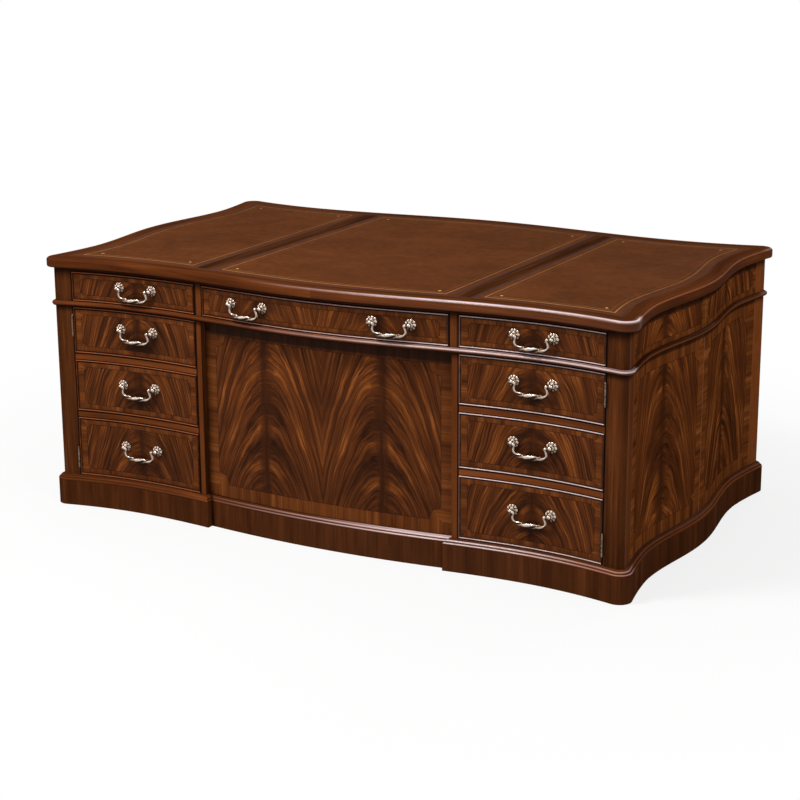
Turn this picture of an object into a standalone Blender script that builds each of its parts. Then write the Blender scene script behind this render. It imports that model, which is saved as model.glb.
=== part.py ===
"""Serpentine pedestal desk in flame mahogany, with an inset leather top.

+X runs to the right along the front, as a visitor sees it. -Y is the visitor's
side, with three frieze drawers over two cupboards and a closed panel between.
+Y is the user's side, with the open kneehole. +Z is up, and the origin is on
the floor under the middle of the desk. Front and back share one outline, so a
piece of the user's side is made as one of the visitor's side and turned round.
Lengths are in metres.
"""

import math

import bmesh
import bpy
from mathutils import Matrix, Vector
from mathutils.geometry import normal

FIT = 0.0003
CUT_OVERRUN = 0.02
SLOPE_STEP = 0.0001
CORNER_STEPS = 60

# Heights of the storeys, from the floor up
PLINTH_HEIGHT = 0.0955
PEDESTAL_HEIGHT = 0.5407
WAIST_HEIGHT = 0.0128
FRIEZE_HEIGHT = 0.11
TOP_THICKNESS = 0.028

# Plan of the veneered body: a crest in the middle of each side, a hollow on
# either hand, and a flare out to the rounded corner
HALF_DEPTH = 0.5842
FRONT_HOLLOW = 0.0523
FRONT_HOLLOW_SHARE = 0.676
FRONT_FLARE = 0.0413
FRONT_FLARE_POWER = 1.99
HALF_WIDTH = 0.9549
SIDE_HOLLOW = 0.0338
SIDE_HOLLOW_SHARE = 0.603
SIDE_FLARE = 0.0347
SIDE_FLARE_POWER = 1.5
CORNER_RADIUS = 0.018

# Segments along the outline
FRONT_SEGMENTS = 10
PEDESTAL_SEGMENTS = 6
SIDE_SEGMENTS = 14
CORNER_SEGMENTS = 5
BOARD_SEGMENTS = 6

# Mouldings, as shares of how far they stand out and of how high they are
PLINTH_PROJECTION = 0.019
PLINTH_MOULDING_HEIGHT = 0.0145
PLINTH_PROFILE_SHARES = (
    (1.0, 0.0),
    (0.97, 0.12),
    (0.84, 0.26),
    (0.66, 0.34),
    (0.6, 0.56),
    (0.4, 0.84),
    (0.1, 1.0),
)
WAIST_PROJECTION = 0.0108
WAIST_PROFILE_SHARES = (
    (0.3, 0.0),
    (0.72, 0.12),
    (1.0, 0.42),
    (0.96, 0.68),
    (0.7, 0.92),
    (0.3, 1.0),
)
TOP_PROJECTION = 0.0215
TOP_PROFILE_SHARES = (
    (0.3, 0.0),
    (0.86, 0.03),
    (1.0, 0.2),
    (1.0, 0.64),
    (0.92, 0.85),
    (0.72, 0.97),
    (0.4, 1.0),
)

# Leather panels and the wooden strips between them
LEATHER_THICKNESS = 0.0015
LEATHER_SINK = 0.0002
LEATHER_MARGIN = 0.038
LEATHER_SIDE_SEGMENTS = 10
STRIP_CENTRE = 0.428
STRIP_WIDTH = 0.0595

# Carcasses
KNEEHOLE_WIDTH = 0.835
INNER_STILE = 0.0185
OUTER_STILE = 0.0716
CASE_BOARD = 0.018
CASE_REBATE = 0.008
FRIEZE_MUNTIN = 0.0247
FRIEZE_LOWER_RAIL = 0.0033
FRIEZE_DRAWER_HEIGHT = 0.09
CUPBOARD_BACK = 0.018
SHELF_HEIGHT = 0.26
SHELF_THICKNESS = 0.016
SHELF_SETBACK = 0.03
DADO_DEPTH = 0.006

# Plinth frames and the skirting under the panel
PLINTH_BOARD = 0.045
PLINTH_BAYS = 3
BEARER_WIDTH = 0.03
CENTRE_PLINTH_SETBACK = 0.0117
CENTRE_PLINTH_BOW = 0.0287
SKIRTING_THICKNESS = 0.04
PANEL_THICKNESS = 0.018

# Drawers and doors
REVEAL = 0.0022
FACE_THICKNESS = 0.02
DOOR_THICKNESS = 0.022
LOWER_FIELD = 0.1859
MIDDLE_FIELD = 0.1611
FIELD_RAIL = 0.0231
BEAD_WIDTH = 0.0035
BEAD_PROUD = 0.0016
BEAD_SLOPE = 0.001
FRIEZE_BOX_LENGTH = 0.3
REAR_BOX_LENGTH = 0.48
FILE_BOX_LENGTH = 0.56
BOX_WALL = 0.012
BOX_BOTTOM = 0.008
BOX_HEADROOM = 0.014
BOX_SIDE_CLEARANCE = 0.0015
BOX_END_CLEARANCE = 0.006

# Butt hinges
HINGE_HEIGHT = 0.066
HINGE_INSET = 0.0235
KNUCKLE_RADIUS = 0.003
PIN_RADIUS = 0.0012
PIN_CLEARANCE = 0.0005
KNUCKLE_SIDES = 8
LEAF_THICKNESS = 0.0016
LEAF_DEPTH = 0.018

# Swan-neck pulls
PULL_SPACING = 0.117
CENTRE_PULL = 0.239
FRIEZE_PULL_RISE = 0.0061
PEDESTAL_PULL_RISE = 0.0135
POST_REACH = 0.02
ROSETTE_RADIUS = 0.0162
ROSETTE_RIM = 0.0022
ROSETTE_DOME = 0.0062
ROSETTE_TENON = 0.002
ROSETTE_SIDES = 8
POST_RADIUS = 0.0042
EYE_RADIUS = 0.0056
BAIL_DROP = 0.0365
BAIL_RADIUS = 0.0036
BAIL_SIDES = 6
BAIL_PIVOT_RADIUS = 0.0022

# Right half of a bail, from its pivot to the middle of its grip: the share of
# half the spacing, the share of the drop and the share of the bar's radius
BAIL_PATH_SHARES = (
    (0.78, 0.0, 1.05),
    (0.7, 0.17, 1.0),
    (0.78, 0.44, 0.9),
    (0.76, 0.72, 1.0),
    (0.58, 0.95, 1.1),
    (0.2, 1.0, 1.05),
    (0.0, 1.0, 1.5),
)

# Levels and lines that follow from the sizes above
WAIST_BASE = PLINTH_HEIGHT + PEDESTAL_HEIGHT
FRIEZE_BASE = WAIST_BASE + WAIST_HEIGHT
TOP_BASE = FRIEZE_BASE + FRIEZE_HEIGHT
DESK_HEIGHT = TOP_BASE + TOP_THICKNESS
PEDESTAL_INNER = KNEEHOLE_WIDTH / 2
OPENING_INNER = PEDESTAL_INNER + INNER_STILE
OPENING_OUTER = HALF_WIDTH - OUTER_STILE
OPENING_MIDDLE = (OPENING_INNER + OPENING_OUTER) / 2
CENTRE_OPENING = OPENING_INNER - FRIEZE_MUNTIN
DOOR_BASE = PLINTH_HEIGHT + REVEAL
DOOR_TOP = WAIST_BASE - REVEAL
MIDDLE_FIELD_BASE = DOOR_BASE + LOWER_FIELD + FIELD_RAIL
FILE_FACE_TOP = MIDDLE_FIELD_BASE + MIDDLE_FIELD
UPPER_FACE_BASE = FILE_FACE_TOP + FIELD_RAIL
FRIEZE_OPENING_BASE = FRIEZE_BASE + FRIEZE_LOWER_RAIL
FRIEZE_FACE_BASE = FRIEZE_OPENING_BASE + REVEAL
FRIEZE_FACE_TOP = FRIEZE_FACE_BASE + FRIEZE_DRAWER_HEIGHT
FRIEZE_OPENING_TOP = FRIEZE_FACE_TOP + REVEAL


def make_material(name, colour, roughness, metallic=0.0):
    """Principled material with one colour."""
    material = bpy.data.materials.new(name)
    material.use_nodes = True
    shader = material.node_tree.nodes["Principled BSDF"]
    shader.inputs["Base Color"].default_value = (*colour, 1.0)
    shader.inputs["Roughness"].default_value = roughness
    shader.inputs["Metallic"].default_value = metallic
    return material


def wave(along, crest, hollow, hollow_at, flare, flare_at, power):
    """Half a serpentine side: crest, hollow and flare to the corner."""
    along = abs(along)
    swing = math.pi * min(along, hollow_at) / hollow_at
    line = crest - hollow * (1 - math.cos(swing)) / 2
    if along > hollow_at:
        line += flare * ((along - hollow_at) / (flare_at - hollow_at)) ** power
    return line


def front_line(x):
    """Distance of the front, or the back, from the middle of the desk."""
    hollow_at = HALF_WIDTH * FRONT_HOLLOW_SHARE
    return wave(x, HALF_DEPTH, FRONT_HOLLOW, hollow_at, FRONT_FLARE, HALF_WIDTH, FRONT_FLARE_POWER)


def side_line(y):
    """Distance of either side from the middle of the desk."""
    hollow_at = HALF_DEPTH * SIDE_HOLLOW_SHARE
    return wave(y, HALF_WIDTH, SIDE_HOLLOW, hollow_at, SIDE_FLARE, HALF_DEPTH, SIDE_FLARE_POWER)


def slope(line, along):
    """Slope of a line, from two points close by."""
    return (line(along + SLOPE_STEP) - line(along - SLOPE_STEP)) / (2 * SLOPE_STEP)


def foot(line, along, across):
    """Place on the line nearest to a point beside it."""
    place = along
    for _ in range(CORNER_STEPS):
        place = along - (line(place) - across) * slope(line, place)
    return place


def corner_arc():
    """Centre of the corner's arc, and where it meets the front and the side."""
    x = HALF_WIDTH - CORNER_RADIUS
    y = HALF_DEPTH - CORNER_RADIUS
    for _ in range(CORNER_STEPS):
        front_end = foot(front_line, x, y)
        side_end = foot(side_line, y, x)
        y += math.hypot(front_end - x, front_line(front_end) - y) - CORNER_RADIUS
        x += math.hypot(side_end - y, side_line(side_end) - x) - CORNER_RADIUS
    return x, y, front_end, side_end


CORNER_X, CORNER_Y, FRONT_END, SIDE_END = corner_arc()


def spread(start, end, segments):
    """Evenly spaced values from start to end."""
    return [start + (end - start) * step / segments for step in range(segments + 1)]


def beside(line, along, out):
    """Point at a distance square to the line: its place along and across."""
    lean = slope(line, along)
    reach = out / math.hypot(1, lean)
    return along - lean * reach, line(along) + reach


def front_run(x_from, x_to, out, segments):
    """Points of the visitor's side, a distance out from the body."""
    points = [beside(front_line, x, out) for x in spread(x_from, x_to, segments)]
    return [(along, -across) for along, across in points]


def corner_run(out):
    """Points of the corner on the visitor's right, front to side."""
    start = math.atan2(CORNER_Y - front_line(FRONT_END), FRONT_END - CORNER_X)
    end = math.atan2(CORNER_Y - SIDE_END, side_line(SIDE_END) - CORNER_X)
    radius = CORNER_RADIUS + out
    angles = spread(start, end, CORNER_SEGMENTS)
    return [(CORNER_X + radius * math.cos(a), radius * math.sin(a) - CORNER_Y) for a in angles]


def side_run(out):
    """Points of the right side, visitor's end to user's end."""
    points = [beside(side_line, y, out) for y in spread(-SIDE_END, SIDE_END, SIDE_SEGMENTS)]
    return [(across, along) for along, across in points]


def half_outline(inner, out, segments):
    """Right part of the body, from x = inner, as a loop seen from above."""
    start = inner
    for _ in range(CORNER_STEPS):
        start += inner - beside(front_line, start, out)[0]
    quarter = front_run(start, FRONT_END, out, segments) + corner_run(out)[1:]
    back = [(x, -y) for x, y in reversed(quarter)]
    return quarter + side_run(out)[1:-1] + back


def full_outline(out):
    """The whole body, as a loop seen from above."""
    right = half_outline(0, out, FRONT_SEGMENTS)
    left = [(-x, y) for x, y in reversed(right[1:-1])]
    return right + left


def at_height(points, z):
    """Plan points lifted to a height."""
    return [Vector((x, y, z)) for x, y in points]


def add_loft(bm, rings, closed=False):
    """Skin over a row of rings, capped unless the last meets the first."""
    step = sum(rings[1], Vector()) - sum(rings[0], Vector())
    if normal(rings[0]).dot(step) < 0:
        rings = [list(reversed(ring)) for ring in rings]
    rows = [[bm.verts.new(point) for point in ring] for ring in rings]
    pairs = list(zip(rows, rows[1:]))
    if closed:
        pairs.append((rows[-1], rows[0]))
    skin = []
    for low, high in pairs:
        for i, corner in enumerate(low):
            j = (i + 1) % len(low)
            skin.append(bm.faces.new((corner, low[j], high[j], high[i])))
    if not closed:
        bm.faces.new(reversed(rows[0]))
        bm.faces.new(rows[-1])
    bm.normal_update()
    return skin


def add_prism(bm, points, z_from, z_to):
    """Upright prism over a plan."""
    return add_loft(bm, [at_height(points, z_from), at_height(points, z_to)])


def add_box(bm, x_range, y_range, z_range):
    """Box between limits along each axis."""
    x_low, x_high = x_range
    y_low, y_high = y_range
    plan = [(x_low, y_low), (x_high, y_low), (x_high, y_high), (x_low, y_high)]
    return add_prism(bm, plan, *z_range)


def make_object(name, bm, material, origin=(0, 0, 0)):
    """Object from a mesh in world places, with its origin at a point."""
    mesh = bpy.data.meshes.new(name)
    bm.to_mesh(mesh)
    bm.free()
    mesh.transform(Matrix.Translation(-Vector(origin)))
    mesh.materials.append(material)
    item = bpy.data.objects.new(name, mesh)
    item.location = origin
    bpy.context.scene.collection.objects.link(item)
    return item


def make_tool(name, bm):
    """Shape that cuts or joins another and isn't a piece itself."""
    tool = make_object(name, bm, bpy.data.materials["tool"])
    tool.hide_render = True
    tool.display_type = "WIRE"
    return tool


def combine(item, bm, operation):
    """Cut a shape from an object, or join it on."""
    step = item.modifiers.new(operation.lower(), "BOOLEAN")
    step.operation = operation
    step.solver = "EXACT"
    step.object = make_tool(f"{item.name}_{operation.lower()}_{len(item.modifiers)}", bm)


def carry(item, carrier):
    """Let a piece follow the one that carries it."""
    item.parent = carrier
    item.matrix_parent_inverse = Matrix.Translation(-carrier.location)


def moulded_slab(outline, profile_shares, projection, z_from, height):
    """Rings of a slab whose edge follows a moulding's profile."""
    rings = []
    for out_share, up_share in profile_shares:
        rings.append(at_height(outline(projection * out_share), z_from + height * up_share))
    return rings


def leather_corner(margin):
    """Where the leather's front and side edges meet."""
    x = HALF_WIDTH - margin
    y = HALF_DEPTH - margin
    for _ in range(CORNER_STEPS):
        x = side_line(y) - margin
        y = front_line(x) - margin
    return x, y


def centre_leather(gap):
    """Plan of the middle leather panel."""
    half = STRIP_CENTRE - STRIP_WIDTH / 2 - gap
    margin = LEATHER_MARGIN + gap
    front = [(x, margin - front_line(x)) for x in spread(-half, half, FRONT_SEGMENTS)]
    return front + [(x, -y) for x, y in reversed(front)]


def right_leather(gap):
    """Plan of the leather panel on the visitor's right."""
    inner = STRIP_CENTRE + STRIP_WIDTH / 2 + gap
    margin = LEATHER_MARGIN + gap
    corner_x, corner_y = leather_corner(margin)
    front = [(x, margin - front_line(x)) for x in spread(inner, corner_x, PEDESTAL_SEGMENTS)]
    sides = spread(-corner_y, corner_y, LEATHER_SIDE_SEGMENTS)[1:-1]
    side = [(side_line(y) - margin, y) for y in sides]
    return front + side + [(x, -y) for x, y in reversed(front)]


def mirrored(points):
    """Plan mirrored to the other hand, still running the same way round."""
    return [(-x, y) for x, y in reversed(points)]


def make_top(wood, leather):
    """Desk top with three shallow recesses, and the leather that fills them."""
    bm = bmesh.new()
    base = TOP_BASE + FIT
    add_loft(bm, moulded_slab(full_outline, TOP_PROFILE_SHARES, TOP_PROJECTION, base, TOP_THICKNESS - FIT))
    top = make_object("desk_top", bm, wood)
    recess = bmesh.new()
    floor = DESK_HEIGHT - LEATHER_THICKNESS
    for plan in (centre_leather(0), right_leather(0), mirrored(right_leather(0))):
        add_prism(recess, plan, floor, DESK_HEIGHT + CUT_OVERRUN)
    combine(top, recess, "DIFFERENCE")
    right = right_leather(FIT)
    for place, plan in (("left", mirrored(right)), ("centre", centre_leather(FIT)), ("right", right)):
        bm = bmesh.new()
        add_prism(bm, plan, floor + FIT, DESK_HEIGHT - LEATHER_SINK)
        make_object(f"leather_{place}", bm, leather)


def face_back(x_from, x_to):
    """Flat back of a drawer face: behind the deepest point of its front."""
    return FACE_THICKNESS - min(front_line(x) for x in spread(x_from, x_to, FRONT_SEGMENTS))


def turned(bm):
    """The same shape, turned round to the other side of the desk."""
    bmesh.ops.rotate(bm, verts=bm.verts[:], cent=(0, 0, 0), matrix=Matrix.Rotation(math.pi, 3, "Z"))
    return bm


def make_frieze(wood):
    """Frieze case with three drawer openings on each side."""
    bm = bmesh.new()
    add_prism(bm, full_outline(0), FRIEZE_BASE + FIT, TOP_BASE)
    case = make_object("frieze_case", bm, wood)
    openings = (
        (-OPENING_OUTER, -OPENING_INNER),
        (-CENTRE_OPENING, CENTRE_OPENING),
        (OPENING_INNER, OPENING_OUTER),
    )
    heights = (FRIEZE_OPENING_BASE, FRIEZE_OPENING_TOP)
    start = -HALF_DEPTH - CUT_OVERRUN
    front = bmesh.new()
    back = bmesh.new()
    for x_range in openings:
        face = face_back(*x_range)
        front_end = face + FRIEZE_BOX_LENGTH + BOX_END_CLEARANCE
        back_end = face + REAR_BOX_LENGTH + BOX_END_CLEARANCE
        add_box(front, x_range, (start, front_end), heights)
        add_box(back, x_range, (start, back_end), heights)
    combine(case, front, "DIFFERENCE")
    combine(case, turned(back), "DIFFERENCE")


def make_waist(wood):
    """Board between frieze and pedestals, with the waist moulding on its edge."""
    bm = bmesh.new()
    base = WAIST_BASE + FIT
    add_loft(bm, moulded_slab(full_outline, WAIST_PROFILE_SHARES, WAIST_PROJECTION, base, WAIST_HEIGHT - FIT))
    make_object("waist_moulding", bm, wood)


def curved_plan(x_from, x_to, face_out, back_in, segments=BOARD_SEGMENTS):
    """Plan of a board that follows the front, its face and its back curved."""
    stations = spread(x_from, x_to, segments)
    face = [(x, -front_line(x) - face_out) for x in stations]
    back = [(x, -front_line(x) + back_in) for x in reversed(stations)]
    return face + back


def handed(x_from, x_to, hand):
    """A range on the right, or its mirror image on the left."""
    return (x_from, x_to) if hand > 0 else (-x_to, -x_from)


def hinge_levels():
    """Base heights of the lower and the upper hinge of a door."""
    lower = DOOR_BASE + HINGE_INSET
    upper = DOOR_TOP - HINGE_INSET - HINGE_HEIGHT
    return {"lower": lower, "upper": upper}


def hinge_axis(hand):
    """Plan place of a door's hinge pins, in front of its outer edge."""
    x = OPENING_OUTER - REVEAL / 2
    y = -front_line(x) - BEAD_PROUD - KNUCKLE_RADIUS - FIT
    return hand * x, y


def make_pedestal(place, hand, wood):
    """Pedestal case: a cupboard for the visitor and two drawers for the user."""
    bm = bmesh.new()
    outline = half_outline(PEDESTAL_INNER, 0, PEDESTAL_SEGMENTS)
    if hand < 0:
        outline = mirrored(outline)
    add_prism(bm, outline, PLINTH_HEIGHT + FIT, WAIST_BASE)
    case = make_object(f"pedestal_{place}", bm, wood)
    opening = handed(OPENING_INNER, OPENING_OUTER, hand)
    inside = handed(OPENING_INNER + CASE_REBATE, OPENING_OUTER - CASE_REBATE, hand)
    turned_opening = handed(OPENING_INNER, OPENING_OUTER, -hand)
    turned_inside = handed(OPENING_INNER + CASE_REBATE, OPENING_OUTER - CASE_REBATE, -hand)
    start = -HALF_DEPTH - CUT_OVERRUN
    floor = PLINTH_HEIGHT + CASE_BOARD
    ceiling = WAIST_BASE - CASE_BOARD
    face = face_back(*turned_opening)
    pocket_end = face + FILE_BOX_LENGTH + BOX_END_CLEARANCE
    cupboard_end = -pocket_end - CUPBOARD_BACK

    recess = bmesh.new()
    plan = curved_plan(*opening, CUT_OVERRUN, DOOR_THICKNESS + FIT)
    add_prism(recess, plan, PLINTH_HEIGHT - CUT_OVERRUN, WAIST_BASE + CUT_OVERRUN)
    combine(case, recess, "DIFFERENCE")

    cupboard = bmesh.new()
    add_box(cupboard, inside, (start, cupboard_end), (floor, ceiling))
    combine(case, cupboard, "DIFFERENCE")

    grooves = bmesh.new()
    groove = handed(OPENING_INNER + CASE_REBATE - DADO_DEPTH, OPENING_OUTER - CASE_REBATE + DADO_DEPTH, hand)
    shelf_base = floor + SHELF_HEIGHT
    shelf_top = shelf_base + SHELF_THICKNESS
    add_box(grooves, groove, (start, cupboard_end), (shelf_base - FIT, shelf_top + FIT))
    combine(case, grooves, "DIFFERENCE")

    mortises = bmesh.new()
    axis_y = hinge_axis(hand)[1]
    mortise = handed(OPENING_OUTER - REVEAL / 2, OPENING_OUTER + LEAF_THICKNESS + FIT, hand)
    leaf_end = axis_y + KNUCKLE_RADIUS + LEAF_DEPTH + FIT
    for base in hinge_levels().values():
        add_box(mortises, mortise, (start, leaf_end), (base - FIT, base + HINGE_HEIGHT + FIT))
    combine(case, mortises, "DIFFERENCE")

    faces = bmesh.new()
    add_box(faces, turned_opening, (start, face + FIT), (PLINTH_HEIGHT - CUT_OVERRUN, FILE_FACE_TOP + REVEAL))
    add_box(faces, turned_opening, (start, face + FIT), (UPPER_FACE_BASE - REVEAL, WAIST_BASE + CUT_OVERRUN))
    combine(case, turned(faces), "DIFFERENCE")

    pockets = bmesh.new()
    add_box(pockets, turned_inside, (start, pocket_end), (floor, FILE_FACE_TOP + REVEAL))
    add_box(pockets, turned_inside, (start, pocket_end), (UPPER_FACE_BASE - REVEAL, ceiling))
    combine(case, turned(pockets), "DIFFERENCE")

    shelf = bmesh.new()
    shelf_front = DOOR_THICKNESS + SHELF_SETBACK - min(front_line(x) for x in opening)
    shelf_span = (groove[0] + FIT, groove[1] - FIT)
    add_box(shelf, shelf_span, (shelf_front, cupboard_end - FIT), (shelf_base, shelf_top))
    make_object(f"shelf_{place}", shelf, wood)


def make_plinth(place, hand, wood):
    """Moulded plinth frame under a pedestal, with two bearers across it."""
    def outline(out):
        points = half_outline(PEDESTAL_INNER - out, out, PEDESTAL_SEGMENTS)
        return points if hand > 0 else mirrored(points)

    bm = bmesh.new()
    moulding_base = PLINTH_HEIGHT - PLINTH_MOULDING_HEIGHT
    rings = [at_height(outline(PLINTH_PROJECTION), 0)]
    profile = PLINTH_PROFILE_SHARES
    rings += moulded_slab(outline, profile, PLINTH_PROJECTION, moulding_base, PLINTH_MOULDING_HEIGHT)
    add_loft(bm, rings)
    plinth = make_object(f"plinth_{place}", bm, wood)
    hollow = bmesh.new()
    inner = PEDESTAL_INNER + PLINTH_BOARD - PLINTH_PROJECTION
    outer = HALF_WIDTH - SIDE_HOLLOW - PLINTH_BOARD + PLINTH_PROJECTION
    depth = HALF_DEPTH - FRONT_HOLLOW - PLINTH_BOARD + PLINTH_PROJECTION
    pitch = (outer - inner + BEARER_WIDTH) / PLINTH_BAYS
    heights = (-CUT_OVERRUN, PLINTH_HEIGHT + CUT_OVERRUN)
    for number in range(PLINTH_BAYS):
        bay_inner = inner + number * pitch
        bay_outer = bay_inner + pitch - BEARER_WIDTH
        add_box(hollow, handed(bay_inner, bay_outer, hand), (-depth, depth), heights)
    combine(plinth, hollow, "DIFFERENCE")


def centre_line(x):
    """Face of the skirting between the pedestals, from the middle of the desk."""
    return HALF_DEPTH - CENTRE_PLINTH_SETBACK - CENTRE_PLINTH_BOW * (x / PEDESTAL_INNER) ** 2


def centre_plan(half, out, back_in):
    """Plan of a curved piece between the pedestals."""
    stations = spread(-half, half, FRONT_SEGMENTS)
    face = [(x, -centre_line(x) - out) for x in stations]
    back = [(x, back_in - centre_line(x)) for x in reversed(stations)]
    return face + back


def make_centre(wood):
    """Skirting and closed panel between the pedestals."""
    half = PEDESTAL_INNER - PLINTH_PROJECTION - FIT
    moulding_base = PLINTH_HEIGHT - PLINTH_MOULDING_HEIGHT

    def outline(out):
        return centre_plan(half, out - PLINTH_PROJECTION, SKIRTING_THICKNESS)

    bm = bmesh.new()
    rings = [at_height(outline(PLINTH_PROJECTION), 0)]
    profile = PLINTH_PROFILE_SHARES
    rings += moulded_slab(outline, profile, PLINTH_PROJECTION, moulding_base, PLINTH_MOULDING_HEIGHT)
    add_loft(bm, rings)
    make_object("plinth_centre", bm, wood)
    bm = bmesh.new()
    plan = centre_plan(PEDESTAL_INNER - FIT, -PLINTH_PROJECTION, PLINTH_PROJECTION + PANEL_THICKNESS)
    add_prism(bm, plan, PLINTH_HEIGHT + FIT, WAIST_BASE)
    make_object("modesty_panel", bm, wood)


def moved_region(bm, faces, move):
    """Faces pushed in or pulled out of a solid, with walls behind them."""
    lifted = bmesh.ops.extrude_face_region(bm, geom=faces)["geom"]
    bmesh.ops.delete(bm, geom=faces, context="FACES")
    region = [part for part in lifted if isinstance(part, bmesh.types.BMFace)]
    verts = {vert for face in region for vert in face.verts}
    bmesh.ops.translate(bm, verts=list(verts), vec=move)
    bm.normal_update()
    return region


def raise_field(bm, faces):
    """Cockbead round a field: a proud rim with the field sunk inside it."""
    rim = moved_region(bm, faces, (0, -BEAD_PROUD, 0))
    bmesh.ops.inset_region(bm, faces=rim, thickness=BEAD_WIDTH, use_even_offset=True)
    bmesh.ops.inset_region(bm, faces=rim, thickness=BEAD_SLOPE, depth=-BEAD_PROUD, use_even_offset=True)


def front_frame(x, z):
    """Place of a pull: midway between its posts' feet, along their chord."""
    ends = [Vector((end, -front_line(end), z)) for end in (x - PULL_SPACING / 2, x + PULL_SPACING / 2)]
    chord = ends[1] - ends[0]
    turn = math.atan2(chord.y, chord.x)
    return Matrix.Translation((ends[0] + ends[1]) / 2) @ Matrix.Rotation(turn, 4, "Z")


def add_rosettes(bm, frame):
    """Two rosettes with their posts and eyes, standing out from a face."""
    profile = (
        (ROSETTE_RADIUS, -ROSETTE_TENON),
        (ROSETTE_RADIUS, ROSETTE_RIM),
        (POST_RADIUS, ROSETTE_DOME),
        (EYE_RADIUS, POST_REACH - EYE_RADIUS / 2),
        (EYE_RADIUS, POST_REACH + EYE_RADIUS / 2),
    )
    for centre in (-PULL_SPACING / 2, PULL_SPACING / 2):
        rings = []
        for radius, reach in profile:
            angles = [math.tau * (side + 0.5) / ROSETTE_SIDES for side in range(ROSETTE_SIDES)]
            ring = [(centre + radius * math.cos(a), -reach, radius * math.sin(a)) for a in angles]
            rings.append([frame @ Vector(point) for point in ring])
        add_loft(bm, rings)


def bail_path():
    """Points and radii along a bail in its own frame, end to end."""
    half = PULL_SPACING / 2
    inner_eye = half - EYE_RADIUS * math.cos(math.pi / ROSETTE_SIDES) - FIT
    points = [(inner_eye, 0, BAIL_PIVOT_RADIUS)]
    points += [(half * x, -BAIL_DROP * z, BAIL_RADIUS * girth) for x, z, girth in BAIL_PATH_SHARES]
    return [(-x, z, radius) for x, z, radius in points] + list(reversed(points))[1:]


def make_bail(name, frame, carrier, brass):
    """Swan-neck bail hanging between its eyes, its origin on their line."""
    path = bail_path()
    rings = []
    for i, (x, z, radius) in enumerate(path):
        before = path[max(i - 1, 0)]
        after = path[min(i + 1, len(path) - 1)]
        heading = Vector((after[0] - before[0], 0, after[1] - before[1])).normalized()
        if i in (0, len(path) - 1):
            heading = Vector((1, 0, 0))
        across = Vector((0, 1, 0)).cross(heading)
        ring = []
        for side in range(BAIL_SIDES):
            angle = math.tau * side / BAIL_SIDES
            spoke = across * math.cos(angle) + Vector((0, math.sin(angle), 0))
            ring.append(Vector((x, 0, z)) + radius * spoke)
        rings.append(ring)
    bm = bmesh.new()
    add_loft(bm, rings)
    mesh = bpy.data.meshes.new(name)
    bm.to_mesh(mesh)
    bm.free()
    mesh.materials.append(brass)
    bail = bpy.data.objects.new(name, mesh)
    place = frame @ Matrix.Translation((0, -POST_REACH, 0))
    bail.location = place.to_translation()
    bail.rotation_euler = place.to_euler()
    bpy.context.scene.collection.objects.link(bail)
    carry(bail, carrier)


def make_drawer(name, x_range, z_range, box_length, box_inset, box_levels, pulls, user_side, materials):
    """Drawer: a beaded face with its pulls, and an open box behind it."""
    wood, box_wood, brass = materials
    x_from, x_to = x_range
    z_from, z_to = z_range
    back = face_back(x_from - REVEAL, x_to + REVEAL)
    turn = Matrix.Rotation(math.pi if user_side else 0, 4, "Z")

    bm = bmesh.new()
    front = [(x, -front_line(x)) for x in spread(x_from, x_to, BOARD_SEGMENTS)]
    skin = add_prism(bm, front + [(x_to, back), (x_from, back)], z_from, z_to)
    raise_field(bm, skin[:BOARD_SEGMENTS])
    bmesh.ops.transform(bm, matrix=turn, verts=bm.verts[:])
    face = make_object(f"{name}_face", bm, wood)
    rosettes = bmesh.new()
    for pull_x, pull_z, bail_name in pulls:
        frame = turn @ front_frame(pull_x, pull_z)
        add_rosettes(rosettes, frame)
        make_bail(bail_name, frame, face, brass)
    combine(face, rosettes, "UNION")

    bm = bmesh.new()
    low, high = box_levels
    inset = box_inset + BOX_SIDE_CLEARANCE - REVEAL
    span = (x_from + inset, x_to - inset)
    depth = (back + FIT, back + FIT + box_length)
    add_box(bm, span, depth, (low + FIT, high - BOX_HEADROOM))
    lid = max(bm.faces, key=lambda side: side.calc_center_median().z)
    bmesh.ops.inset_region(bm, faces=[lid], thickness=BOX_WALL, use_even_offset=True)
    moved_region(bm, [lid], (0, 0, low + FIT + BOX_BOTTOM - (high - BOX_HEADROOM)))
    bmesh.ops.transform(bm, matrix=turn, verts=bm.verts[:])
    box = make_object(f"{name}_box", bm, box_wood)
    carry(box, face)


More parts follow.
